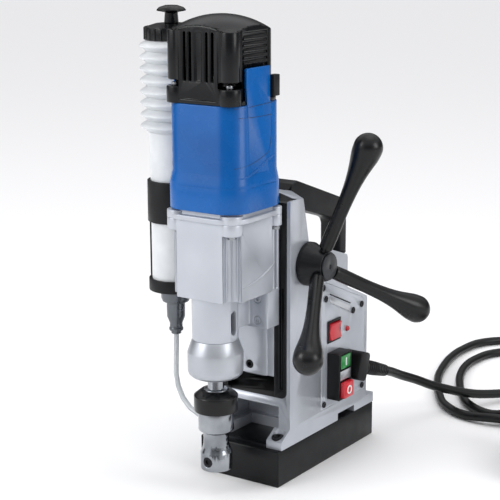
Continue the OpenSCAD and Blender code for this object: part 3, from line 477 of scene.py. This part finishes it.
def volume_and_box(obj: bpy.types.Object) -> tuple[float, Vector, Vector]:
    """Measure a mesh.

    Args:
        obj: Object to measure.

    Returns:
        Volume and the two corners of the box.
    """
    mesh = bmesh.new()
    mesh.from_mesh(obj.data)
    volume = abs(mesh.calc_volume())
    points = [v.co for v in mesh.verts]
    low = Vector([min(p[i] for p in points) for i in range(3)])
    high = Vector([max(p[i] for p in points) for i in range(3)])
    mesh.free()
    return volume, low, high


def soften(node: str) -> bpy.types.Object:
    """Copy a CAD node as a merged mesh with rounded edges, which stands for it.

    Args:
        node: Name of the CAD node.

    Returns:
        The softened piece.
    """
    source = frame["nodes"][node]
    width = EDGE.get(node, SOFT_EDGE)
    for share in (1.0, 0.5, 0.25, 0.0):
        piece = placed(node + "_soft", source.data.copy())
        take(piece)
        bpy.ops.object.mode_set(mode="EDIT")
        bpy.ops.mesh.select_all(action="SELECT")
        bpy.ops.mesh.remove_doubles(threshold=MERGE_GAP)
        bpy.ops.mesh.dissolve_limited(angle_limit=math.radians(FLAT_DEGREES))
        bpy.ops.object.mode_set(mode="OBJECT")
        before = volume_and_box(piece)
        if share:
            bevel = piece.modifiers.new("edges", "BEVEL")
            bevel.width = width * share * MM
            bevel.segments = 2
            bevel.limit_method = "ANGLE"
            bevel.angle_limit = math.radians(EDGE_DEGREES)
            bevel.use_clamp_overlap = False
            bevel.miter_outer = "MITER_ARC"
            apply_modifiers(piece)
        after = volume_and_box(piece)
        grown = max(max(before[1][i] - after[1][i], after[2][i] - before[2][i]) for i in range(3))
        changed = abs(after[0] - before[0])
        if grown < GROWTH_ALLOWED and changed < VOLUME_CHANGE_ALLOWED * before[0]:
            break
        bpy.data.objects.remove(piece)
    shade(piece, EDGE_DEGREES)
    LOG.info("softened %s by %.2f mm", node, width * share)
    finish_piece(piece, NODE_FINISH[node], source["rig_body"], node)
    # the faces inside the column's guide channel get near-black painted shade
    if node == "column_housing":
        paint_channel_shade(piece)
    return piece


def paint_channel_shade(piece: bpy.types.Object) -> None:
    """Colour the faces inside the column's guide channel near-black, as painted shade.

    Args:
        piece: Softened column housing.
    """
    piece.data.materials.append(CHANNEL_SHADE_BLACK.make())
    for face in piece.data.polygons:
        spot = face.center / MM
        if (abs(spot.x) < CHANNEL_HALF and CHANNEL_REACH[0] < spot.y < CHANNEL_REACH[1]
                and CHANNEL_HEIGHT[0] < spot.z < CHANNEL_HEIGHT[1]):
            face.material_index = 1


# ------------------------------------------------------------------ camera and light


@dataclass
class Studio:
    """Camera, floor and soft lights."""

    azimuth: float = 34.347
    elevation: float = 13.204
    roll: float = -0.231
    place: tuple[float, float, float] = (0.7025, -1.0928, 0.4992)
    lens: float = 104.98

    def build(self) -> None:
        """Set up the camera, the floor, the room and the lights."""
        self.camera()
        self.floor()
        self.room()
        self.lights()

    def camera(self) -> None:
        """Put the camera at its viewpoint."""
        a, e, r = (math.radians(v) for v in (self.azimuth, self.elevation, self.roll))
        back = Vector((math.sin(a) * math.cos(e), -math.cos(a) * math.cos(e), math.sin(e)))
        right = Vector((math.cos(a), math.sin(a), 0))
        up = right.cross(-back)
        side = math.cos(r) * right + math.sin(r) * up
        top = -math.sin(r) * right + math.cos(r) * up
        data = bpy.data.cameras.new("view")
        data.sensor_width, data.lens, data.clip_start = 36, self.lens, 0.01
        obj = placed("view", data)
        obj.matrix_world = Matrix((
            (side.x, top.x, back.x, self.place[0]), (side.y, top.y, back.y, self.place[1]),
            (side.z, top.z, back.z, self.place[2]), (0, 0, 0, 1)))
        bpy.context.scene.camera = obj

    def floor(self) -> None:
        """Lay a plain pale floor."""
        clear_selection()
        bpy.ops.mesh.primitive_circle_add(vertices=96, radius=40, fill_type="NGON")
        floor = bpy.context.object
        floor.name = "floor"
        mat = bpy.data.materials.new("pale floor")
        mat.use_nodes = True
        shader = mat.node_tree.nodes["Principled BSDF"]
        shader.inputs["Base Color"].default_value = linear("FAFAFA")
        shader.inputs["Roughness"].default_value = 0.7
        floor.data.materials.append(mat)

    def room(self) -> None:
        """Surround it with a pale room whose bright and dim walls show in what shines."""
        # colours are shown plainly, as a catalogue prints them
        bpy.context.scene.view_settings.view_transform = "Standard"
        world = bpy.data.worlds.new("pale room")
        bpy.context.scene.world = world
        world.use_nodes = True
        tree = world.node_tree
        way = add(tree, "TexCoord").outputs["Generated"]
        parts = add(tree, "SeparateXYZ", links={0: way})
        turn = add(tree, "Math", {"operation": "ARCTAN2"},
                   {0: parts.outputs["Y"], 1: parts.outputs["X"]})
        round_room = add(tree, "MapRange", {"From Min": -math.pi, "From Max": math.pi},
                         {"Value": turn.outputs[0]})
        panels = add(tree, "ValToRGB", links={"Fac": round_room.outputs["Result"]})
        stops = panels.color_ramp.elements
        stops[0].position, stops[0].color = 0.0, (0.10, 0.10, 0.11, 1)
        stops[1].position, stops[1].color = 1.0, (0.10, 0.10, 0.11, 1)
        # where round the room each wall starts or ends, and how bright it is
        walls = ((0.05, 0.2), (0.085, 1.5), (0.2, 1.5), (0.24, 0.3), (0.4, 0.2), (0.46, 0.9),
                 (0.56, 0.9), (0.62, 0.16), (0.8, 0.12))
        for spot, level in walls:
            stop = stops.new(spot)
            stop.color = (level, level, level * 1.02, 1)
        above = add(tree, "MapRange", {"From Min": 0.3, "From Max": 0.62}, {"Value": parts.outputs["Z"]})
        mixed = add(tree, "Mix", {"data_type": "RGBA"}, {"Factor": above.outputs["Result"],
                                                         6: panels.outputs["Color"]})
        mixed.inputs[7].default_value = (1.06, 1.06, 1.08, 1)
        tree.links.new(mixed.outputs[2], tree.nodes["Background"].inputs["Color"])
        tree.nodes["Background"].inputs["Strength"].default_value = 0.95

    def lights(self) -> None:
        """Hang soft boxes round the object."""
        boxes = (
            ("key", (-1.0, -1.5, 1.3), 0.9, 14.0), ("right", (1.7, 0.1, 0.9), 0.8, 9.0),
            ("top", (0.2, 0.2, 1.9), 1.2, 5.0),
        )
        for name, spot, size, power in boxes:
            data = bpy.data.lights.new(name, "AREA")
            data.size, data.energy = size, power
            obj = placed(name, data)
            aim = Vector((0, -0.05, 0.2)) - Vector(spot)
            obj.matrix_world = Matrix.Translation(spot) @ aim.to_track_quat("-Z", "Y").to_matrix().to_4x4()


# ------------------------------------------------------------------ mains cord


@dataclass
class MainsCord:
    """Rubber-sheathed mains lead, its sleeve, its stored coil and its plug. Sizes in mm."""

    diameter: float = 9.0
    length: float = 3.84
    coil_centre: tuple[float, float] = (248.0, 104.0)
    coil_radii: tuple[float, ...] = (62.0, 53.0, 44.0)
    coil_steps: int = 16
    coil_start: float = 84.0
    low_layer: float = 4.5
    top_layer: float = 13.5
    route: list[tuple[float, float, float]] = field(default_factory=lambda: [
        (52, 82.92, 66.56), (52, 100.78, 60.06), (54, 119.5, 51.5), (59, 141, 42), (67, 163, 31),
        (78.5, 186, 21.5), (92, 210.5, 13.5), (107, 238, 9), (125, 268.5, 5.5), (145.5, 304, 4.5),
        (157, 347, 4.5), (145.5, 391, 4.5), (113.5, 425.5, 4.5), (70, 442, 5), (29.5, 432.5, 4.5),
        (4.5, 403, 5), (-1.5, 366, 4.5), (2, 330, 4.5), (10, 297.5, 4.5), (20, 267.5, 4.5),
        (33, 239.5, 5), (48.5, 212.5, 5), (69, 186, 4.5), (99, 168.5, 5), (136, 169, 8),
        (173.5, 188, 4.5), (189, 233, 6), (175, 282.5, 5), (154.5, 327.5, 14), (136.5, 369.5, 5.5),
        (106, 400, 4.5), (65, 403, 4.5), (34.5, 376, 4.5), (27, 339, 4.5), (31, 307, 4.5),
        (40, 279.5, 4.5), (52.5, 253, 5), (68, 226.5, 5), (89.5, 200, 4.5), (122.5, 183.5, 5.5),
        (160.5, 181, 15), (194.5, 178.5, 8), (221.5, 176, 5), (245, 172.5, 4.5),
    ])
    outlet: tuple[float, float, float] = (52.0, 35.0, 84.0)
    tilt: float = 20.0
    sleeve_end: float = 56.0
    rib_pitch: float = 3.8
    plug_shift: float = 53.0
    plug_height: float = 36.6
    pin_half_gap: float = 9.5

    def points(self) -> list[tuple[float, float, float]]:
        """Route over the floor, then round the coil and up into the plug.

        Returns:
            Points in mm.
        """
        cx, cy = self.coil_centre
        path = list(self.route[:-1])
        layers = ([(r, self.low_layer) for r in self.coil_radii]
                  + [(r, self.top_layer) for r in reversed(self.coil_radii)])
        for turn, (radius, height) in enumerate(layers):
            after = layers[turn + 1] if turn + 1 < len(layers) else (radius, height)
            for step in range(self.coil_steps):
                way = step / self.coil_steps
                ease = max(0.0, (way - 0.7) / 0.3)
                ease = ease * ease * (3 - 2 * ease)
                angle = math.radians(self.coil_start - 360 * way)
                r = radius + (after[0] - radius) * ease
                z = height + (after[1] - height) * ease
                if turn == 0 and step < 2:
                    r += (2.6, 1.0)[step]
                path.append((cx + r * math.cos(angle), cy + r * math.sin(angle), z))
        # the free end leaves the top layer and rises into the plug, which lies on the coil
        last_turn = [(degrees, self.coil_radii[0], self.top_layer) for degrees in range(84, -37, -24)]
        for degrees, radius, height in last_turn + [(-60, 62, 14), (-84, 61, 16)]:
            a = math.radians(degrees)
            path.append((cx + radius * math.cos(a), cy + radius * math.sin(a), height))
        path += [(cx - 17, cy - 57.5, 20.5), (cx - 35, cy - 46, 27.5), (cx - 47, cy - 30, 33.6),
                 (cx - 52.2, cy - 14, 36.2), (cx - self.plug_shift, cy - 2, self.plug_height)]
        return path

    def build(self) -> None:
        path = self.points()
        data = round_curve("mains_cord", self.diameter / 2, 4, 6)
        spline = data.splines.new("BEZIER")
        spline.bezier_points.add(len(path) - 1)
        spots = [Vector(p) * MM for p in path]
        for i, spot in enumerate(spots):
            point = spline.bezier_points[i]
            ahead, behind = spots[min(i + 1, len(spots) - 1)], spots[max(i - 1, 0)]
            way = (ahead - behind).normalized()
            if spot.z < 4.8 * MM:
                way = Vector((way.x, way.y, 0)).normalized()
            point.co = spot
            point.handle_left = spot - way * (spot - behind).length / 3
            point.handle_right = spot + way * (ahead - spot).length / 3
        cord = placed("mains_cord", data)
        finish_piece(cord, CORD_PVC, "stand", "power_cord", "cord_coil")
        sleeve = self.sleeve()
        plug = self.plug()

    def sleeve(self) -> bpy.types.Object:
        """Ribbed, tapered strain relief at the outlet.

        Returns:
            The sleeve.
        """
        profile = [(5.4, 4.6), (5.4, 4.95), (8.5, 5.0), (8.7, 6.6), (9.2, 6.9), (12, 6.9)]
        s = 12.0
        while s < self.sleeve_end - 2:
            outer = 6.9 - 1.3 * max(0.0, (s - 30) / 26)
            profile += [(s, outer), (s + 1.9, outer - 0.05), (s + 2.3, outer - 0.8), (s + 3.3, outer - 0.8),
                        (s + 3.6, outer - 0.1)]
            s += self.rib_pitch
        profile += [(55.2, 5.5), (self.sleeve_end, 5.2), (self.sleeve_end, 4.6)]
        profile = [p for p in profile if p[0] <= self.sleeve_end]
        turn = (Matrix.Translation(Vector(self.outlet) * MM)
                @ Matrix.Rotation(math.radians(-self.tilt), 4, "X"))
        piece = spun("cord_sleeve", profile, 40)
        piece.data.transform(turn)
        shade(piece, 40)
        return finish_piece(piece, NYLON, "stand", "strain_relief")

    def plug(self) -> bpy.types.Object:
        """Two-pin plug with a finger-grip waist, lying on the coil.

        Returns:
            The plug.
        """
        cx, cy = self.coil_centre
        profile = [(-10.0, 4.6), (-10, 6.2), (-8.4, 7.0), (-6, 6.6), (-4.6, 7.4), (-2.2, 7.0), (-0.8, 8.0),
                   (1.5, 9.6), (5, 12.4), (9, 15.4), (11.5, 16.6), (16, 16.0), (21, 16.2), (25, 17.9),
                   (27.6, 18.3), (28.6, 18.0), (29, 17.2), (29, 0.0)]
        body = spun("plug_body", profile, 64)
        back = cx - self.plug_shift
        body.data.transform(Matrix.Translation(Vector((back, cy, self.plug_height)) * MM))
        pins = []
        for side in (-1, 1):
            pin = spun("plug_pin", [(28.0, 0.0), (28, 2.35), (46.2, 2.35), (47.4, 1.9), (48, 0.9),
                                    (48, 0.0)], 24)
            spot = Vector((back + side * self.pin_half_gap, cy, self.plug_height))
            pin.data.transform(Matrix.Translation(spot * MM))
            pins.append(pin)
        take(pins[0])
        pins[1].select_set(True)
        bpy.ops.object.join()
        shade(pins[0], 35)
        finish_piece(pins[0], ZINC, "stand")
        pins[0].name = "plug_pins"
        shade(body, 35)
        return finish_piece(body, NYLON, "stand", "plug")


def round_curve(name: str, radius: float, round_steps: int, long_steps: int) -> bpy.types.Curve:
    """Start a curve with a round section and closed ends.

    Args:
        name: Name of the curve.
        radius: Radius of its section, in mm.
        round_steps: Blender's bevel resolution, for the steps round it.
        long_steps: Steps between two of its points.

    Returns:
        The curve, without its line.
    """
    data = bpy.data.curves.new(name, "CURVE")
    data.dimensions = "3D"
    data.bevel_depth = radius * MM
    data.bevel_resolution = round_steps
    data.resolution_u = long_steps
    data.use_fill_caps = True
    return data


def spun(name: str, profile: list[tuple[float, float]], steps: int) -> bpy.types.Object:
    """Turn a profile about the Y axis into a closed solid of revolution.

    Args:
        name: Name of the object.
        profile: Distance along Y and radius, in mm.
        steps: Facets round the turn.

    Returns:
        The object, with its place in its mesh.
    """
    mesh = bpy.data.meshes.new(name)
    points = [(r * MM, y * MM, 0.0) for y, r in profile]
    mesh.from_pydata(points, [(i, i + 1) for i in range(len(points) - 1)], [])
    obj = placed(name, mesh)
    take(obj)
    bpy.ops.object.mode_set(mode="EDIT")
    bpy.ops.mesh.select_all(action="SELECT")
    bpy.ops.mesh.spin(steps=steps, angle=2 * math.pi, center=(0, 0, 0), axis=(0, 1, 0))
    bpy.ops.mesh.select_all(action="SELECT")
    bpy.ops.mesh.remove_doubles(threshold=0.002 * MM)
    bpy.ops.mesh.normals_make_consistent(inside=False)
    bpy.ops.object.mode_set(mode="OBJECT")
    return obj


def smooth_line(points: list[tuple[float, float]], steps: int = 5) -> list[tuple[float, float]]:
    """Run a smooth line through profile points.

    Args:
        points: Points of the profile.
        steps: Pieces between two points.

    Returns:
        The finer profile.
    """
    line = []
    for i in range(len(points) - 1):
        a, b = points[max(i - 1, 0)], points[i]
        c, d = points[i + 1], points[min(i + 2, len(points) - 1)]
        for k in range(steps):
            t = k / steps
            line.append(tuple(
                0.5 * (2 * b[j] + (c[j] - a[j]) * t + (2 * a[j] - 5 * b[j] + 4 * c[j] - d[j]) * t * t
                       + (3 * b[j] - a[j] - 3 * c[j] + d[j]) * t ** 3) for j in (0, 1)))
    line.append(points[-1])
    return line


def upright(name: str, profile: list[tuple[float, float]], centre: tuple[float, float],
            steps: int = 96) -> bpy.types.Object:
    """Turn a profile about an upright axis.

    Args:
        name: Name of the piece.
        profile: Height and radius, in mm.
        centre: X and Y of the axis, in mm.
        steps: Facets round the turn.

    Returns:
        The piece.
    """
    piece = spun(name, profile, steps)
    piece.data.transform(Matrix.Translation((centre[0] * MM, centre[1] * MM, 0))
                         @ Matrix.Rotation(math.radians(90), 4, "X"))
    return piece


def strand(name: str, points: list[tuple[float, float, float]], radius: float,
           finish: Finish, body: str, flat: float = 1.0) -> bpy.types.Object:
    """Raise a thin rounded bead or line along points on a surface.

    Args:
        name: Name of the piece.
        points: Its line, in mm.
        radius: Its radius, in mm.
        finish: Material.
        body: Body that it moves with.
        flat: Share of the radius that is left at both ends, 1 for no taper.

    Returns:
        The bead, as a mesh.
    """
    data = round_curve(name, radius, 3, 8)
    spline = data.splines.new("NURBS")
    spline.points.add(len(points) - 1)
    for i, spot in enumerate(points):
        spline.points[i].co = (spot[0] * MM, spot[1] * MM, spot[2] * MM, 1)
        spline.points[i].radius = flat if i in (0, len(points) - 1) else 1
    spline.use_endpoint_u = True
    spline.order_u = 4
    bead = placed(name, data)
    take(bead)
    bpy.ops.object.convert(target="MESH")
    bead = bpy.context.object
    shade(bead, 60)
    return finish_piece(bead, finish, body)


# ------------------------------------------------------------------ the machine


@dataclass
class CoolantBottle:
    """Milky bottle with its bellows pump. Sizes in mm."""

    axis: tuple[float, float] = (-70.2, -81.0)
    radius: float = 20.6
    folds: int = 8
    low: float = 309.0
    high: float = 389.0
    wide: float = 28.5
    narrow: float = 22.4

    def build(self) -> None:
        """Turn the bottle and its bellows."""
        r = self.radius
        outer = [(166, 0), (166, 12.2), (167, 13.1), (169, 13.2), (169.1, r - 2), (170, r - 0.5), (172, r),
                 (300, r), (304, r + 0.2), (306.4, 21.8), (307, 22), (309, 22)]
        inner = [(309, 18.8), (304, 18.7), (173, 18.8), (171, 17.5), (171, 0)]
        bottle = upright("bottle_shell", outer + inner, self.axis)
        shade(bottle, 35)
        finish_piece(bottle, MILKY, "carriage", "coolant_bottle")
        wall, pitch = 1.4, (self.high - self.low) / self.folds
        line = []
        for i in range(self.folds * 10 + 1):
            way = i / 10
            swell = (0.5 - 0.5 * math.cos(2 * math.pi * way)) ** 0.8
            line.append((self.low + pitch * way, self.narrow + (self.wide - self.narrow) * swell))
        folds = upright("bellows_shell", line + [(z, r - wall) for z, r in reversed(line)] + [line[0]],
                        self.axis, 80)
        shade(folds, 50)
        finish_piece(folds, MILKY, "carriage", "bellows")
        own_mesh(folds)


@dataclass
class Turnstile:
    """Three moulded levers on their hub. Sizes in mm."""

    root: tuple[float, float, float] = (53.5, -37.0, 195.0)
    lean: float = 24.0
    angles: tuple[float, ...] = (90.0, -30.0, -150.0)
    reach: float = 118.0
    knob: float = 12.7

    def build(self) -> None:
        """Turn one lever and set a copy at each angle."""
        ball = [(self.reach + self.knob * math.sin(a), self.knob * math.cos(a))
                for a in [math.pi / 2 * k / 12 for k in range(1, 12)]]
        shaft = smooth_line([(19.0, 6.15), (30, 6.3), (46, 6.1), (60, 6.1), (78, 6.9), (92, 8.5), (102, 10.4),
                             (111, 12.2), (self.reach, self.knob)])
        profile = [(7.6, 0.0), (7.6, 4.0), (17.4, 4.0), (17.4, 5.2), (18, 5.9)] + shaft + ball
        profile.append((self.reach + self.knob, 0.0))
        for number, angle in enumerate(self.angles, 1):
            lever = spun(f"lever_{number}", profile, 64)
            place = (Matrix.Translation(Vector(self.root) * MM)
                     @ Matrix.Rotation(math.radians(angle - 90), 4, "X")
                     @ Matrix.Rotation(math.radians(self.lean), 4, "Y")
                     @ Matrix.Rotation(math.radians(90), 4, "X"))
            lever.data.transform(place)
            shade(lever, 35)
            finish_piece(lever, PHENOLIC, "turnstile", f"feed_lever_{number}")


def rounded_outline(half: float, radius: float, centre_y: float, height: float) -> list[Vector]:
    """Points round a square with round corners.

    Args:
        half: Half of its width, in mm.
        radius: Corner radius, in mm.
        centre_y: Y of its centre, in mm.
        height: Height that it lies at, in mm.

    Returns:
        Points in metres.
    """
    points = []
    for corner, (sx, sy) in enumerate(((1, 1), (-1, 1), (-1, -1), (1, -1))):
        for k in range(13):
            a = math.radians(90 * corner + 7.5 * k)
            points.append(Vector((sx * (half - radius) + radius * math.cos(a),
                                  centre_y + sy * (half - radius) + radius * math.sin(a), height)) * MM)
    return points


def lofted(name: str, rings: list[list[Vector]]) -> bpy.types.Object:
    """Skin outlines of the same count into a closed solid.

    Args:
        name: Name of the piece.
        rings: Outlines from the lowest to the highest.

    Returns:
        The piece.
    """
    count = len(rings[0])
    faces = [list(reversed(range(count)))]
    for r in range(len(rings) - 1):
        base = r * count
        faces += [[base + i, base + (i + 1) % count, base + count + (i + 1) % count, base + count + i]
                  for i in range(count)]
    faces.append([(len(rings) - 1) * count + i for i in range(count)])
    mesh = bpy.data.meshes.new(name)
    mesh.from_pydata([p for ring in rings for p in ring], [], faces)
    piece = placed(name, mesh)
    take(piece)
    bpy.ops.object.mode_set(mode="EDIT")
    bpy.ops.mesh.select_all(action="SELECT")
    bpy.ops.mesh.normals_make_consistent(inside=False)
    bpy.ops.object.mode_set(mode="OBJECT")
    shade(piece, 30)
    return piece


# lines on the shell's side: name, radius, share of it at the ends, finish, and Y and height of each point
SHELL_LINES = (
    ("crease", 1.0, 0.4, SHELL_BLUE,
     ((-133, 283), (-123, 284), (-108.4, 288.4), (-95, 294), (-84.4, 297.5))),
    # the seams below are darker blue lines of painted shade in the shell's seams
    ("top_seam", 0.3, 1, SEAM_SHADE_BLUE, ((-133, 341), (-118, 341.5), (-101, 342), (-83, 342.4))),
    ("plate_top", 0.3, 1, SEAM_SHADE_BLUE,
     ((-129.8, 333.3), (-115.5, 332.8), (-100.8, 332.3), (-87.4, 332.4))),
    ("plate_edge", 0.3, 1, SEAM_SHADE_BLUE, ((-87.4, 332.4), (-87.0, 318), (-88.4, 308), (-90.5, 301.8))),
    ("plate_low", 0.3, 1, SEAM_SHADE_BLUE, ((-133, 292), (-118.6, 294), (-102.5, 297.5), (-90.5, 301.8))),
)


@dataclass
class Seams:
    """Shoulder, fine lines of painted seam shade and ribs on the motor shell and the gearbox. Sizes in mm."""

    corner: float = 17.2
    radius: float = 20.0
    middle_y: float = -102.0
    box_x: float = 34.5

    def on_shell(self, side: int, y: float, z: float, proud: float = 0.0) -> tuple[float, float, float]:
        """Find a point on the shell's side, round its corners too.

        Args:
            side: -1 for the left side and 1 for the right.
            y: Its Y.
            z: Its height.
            proud: How far it stands off the surface.

        Returns:
            The point.
        """
        past = max(0.0, abs(y - self.middle_y) - self.corner)
        x = self.corner + math.sqrt(max(0.0, self.radius ** 2 - past ** 2)) + proud
        return side * x, y, z

    def build(self) -> None:
        """Lay the shoulder, the beads and the lines of painted seam shade on both sides, then the painted
        slit shade and the screw.
        """
        self.shoulder()
        for side, tag in ((-1, "left"), (1, "right")):
            self.shell_lines(side, tag)
            self.gearbox_beads(side, tag)
        self.slit_and_screw()

    def shoulder(self) -> None:
        """Widen the foot of the shell in a rounded step."""
        low, high = (39.0, 21.0, -102.5), (37.25, 20.0, -102.0)
        bottom, ledge, rise, steps = 275.0, 276.2, 9.3, 4
        rings = [rounded_outline(*low, bottom), rounded_outline(*low, ledge)]
        for k in range(1, steps + 1):
            t = k / steps
            rings.append(rounded_outline(*(a + (b - a) * t for a, b in zip(low, high)), ledge + rise * t))
        finish_piece(lofted("shell_shoulder", rings), SHELL_BLUE, "carriage")

    def shell_lines(self, side: int, tag: str) -> None:
        """Draw the crease and the fine seams, which are darker lines of painted shade, on one side of the
        shell.

        Args:
            side: -1 for the left side and 1 for the right.
            tag: End of the pieces' names.
        """
        for name, radius, taper, finish, spots in SHELL_LINES:
            dense = smooth_line(list(spots), 4)
            strand(f"shell_{name}_{tag}", [self.on_shell(side, y, z, -0.1) for y, z in dense], radius,
                   finish, "carriage", taper)

    def gearbox_beads(self, side: int, tag: str) -> None:
        """Raise the ridge and the three ribs on one side of the gearbox.

        Args:
            side: -1 for the left side and 1 for the right.
            tag: End of the pieces' names.
        """
        b = side * (self.box_x - 0.2)
        ridge = [(b, -127, 190), (b, -115.4, 190.9), (b, -100.4, 193.3), (b, -88.1, 197.7), (b, -77.3, 203.4)]
        strand(f"gearbox_ridge_{tag}", ridge, 1.1, CASTING, "carriage", 0.3)
        for k, degrees in enumerate((85, 125, 165)):
            a = math.radians(degrees)
            x, y = 29.5 + 7.3 * math.cos(a), -134.5 + 7.3 * math.sin(a)
            strand(f"gearbox_rib_{tag}_{k}", [(side * x, y, z) for z in (179, 195, 215, 235)], 0.8, CASTING,
                   "carriage")

    def slit_and_screw(self) -> None:
        """Draw the trim plate's slit as a near-black line of painted shade and set the screw in the slide's
        hole.
        """
        # a near-black line of painted shade stands for the trim plate's slit
        strand("trim_slit_shade", [(42.3, 2.0, 158.2), (42.3, 14, 152.8), (42.3, 26, 147.4), (42.3, 38, 142)],
               0.55, CHANNEL_SHADE_BLACK, "stand")
        screw = spun("slide_hole_screw", [(0, 0.0), (0, 3.9), (3.4, 3.9), (3.9, 3.4), (3.9, 2.2), (1.2, 2.0),
                                          (1.2, 0.0)], 32)
        screw.data.transform(Matrix.Translation(Vector((0, -62.4, 103)) * MM)
                             @ Matrix.Rotation(math.pi, 4, "Z"))
        shade(screw, 30)
        finish_piece(screw, SCREW_BLACK, "carriage")


@dataclass
class QuillCollar:
    """Satin steel collar that carries the spindle's lower bearing. Sizes in mm."""

    axis: tuple[float, float] = (0.0, -118.0)

    def build(self) -> None:
        """Turn the collar."""
        profile = [(105.5, 8.9), (105.5, 17.0), (105.9, 18.2), (107.2, 21.0), (109.2, 23.2), (111.6, 24.1),
                   (113, 24.2), (128.4, 24.2), (129.4, 23.9), (139.2, 20.4), (140, 19.9), (140, 15.1),
                   (110.2, 15.1), (110.2, 8.9), (105.5, 8.9)]
        collar = upright("collar_turned", profile, self.axis)
        shade(collar, 32)
        finish_piece(collar, TURNED_STEEL, "carriage", "spindle_collar")


@dataclass
class SwitchMarks:
    """Raised generic marks on the start and stop buttons. Sizes in mm."""

    face_start: float = 55.6
    face_stop: float = 59.4
    middle_y: float = 9.0
    start_height: float = 95.3
    stop_height: float = 69.0

    def build(self) -> None:
        """Mould the bar and the ring."""
        clear_selection()
        bpy.ops.mesh.primitive_cube_add(
            size=1, location=(self.face_start * MM, self.middle_y * MM, self.start_height * MM))
        bar = bpy.context.object
        bar.name = "start_bar"
        bar.scale = (0.8 * MM, 1.5 * MM, 7.4 * MM)
        bpy.ops.object.transform_apply(location=True, rotation=True, scale=True)
        self.round_off(bar)
        finish_piece(bar, MARK_WHITE, "start")
        bpy.ops.mesh.primitive_torus_add(major_radius=3.4 * MM, minor_radius=0.75 * MM, major_segments=48,
                                         minor_segments=12, rotation=(0, math.radians(90), 0),
                                         location=(self.face_stop * MM, self.middle_y * MM,
                                                   self.stop_height * MM))
        ring = bpy.context.object
        ring.name = "stop_ring"
        bpy.ops.object.transform_apply(location=True, rotation=True, scale=True)
        shade(ring, 60)
        finish_piece(ring, MARK_WHITE, "stop")

    def round_off(self, piece: bpy.types.Object) -> None:
        """Round a small mark's edges.

        Args:
            piece: The mark.
        """
        bevel = piece.modifiers.new("round", "BEVEL")
        bevel.width, bevel.segments = 0.3 * MM, 3
        apply_modifiers(piece)
        shade(piece, 40)


@dataclass
class Machine:
    """Every rigid CAD node that is carried over with rounded edges and a finish."""

    skip: tuple[str, ...] = ("power_cord", "cord_coil", "strain_relief", "plug", "coolant_bottle", "bellows",
                             "feed_lever_1", "feed_lever_2", "feed_lever_3", "spindle_collar")

    def build(self) -> None:
        """Soften and dress each node."""
        for node in sorted(frame["nodes"]):
            if node not in self.skip:
                soften(node)


def main() -> None:
    """Build the scene in order."""
    logging.basicConfig(level=logging.INFO, format="%(name)s: %(message)s")
    Studio().build()
    MainsCord().build()
    Machine().build()
    CoolantBottle().build()
    Turnstile().build()
    Seams().build()
    QuillCollar().build()
    SwitchMarks().build()


if __name__ == "__main__":
    main()
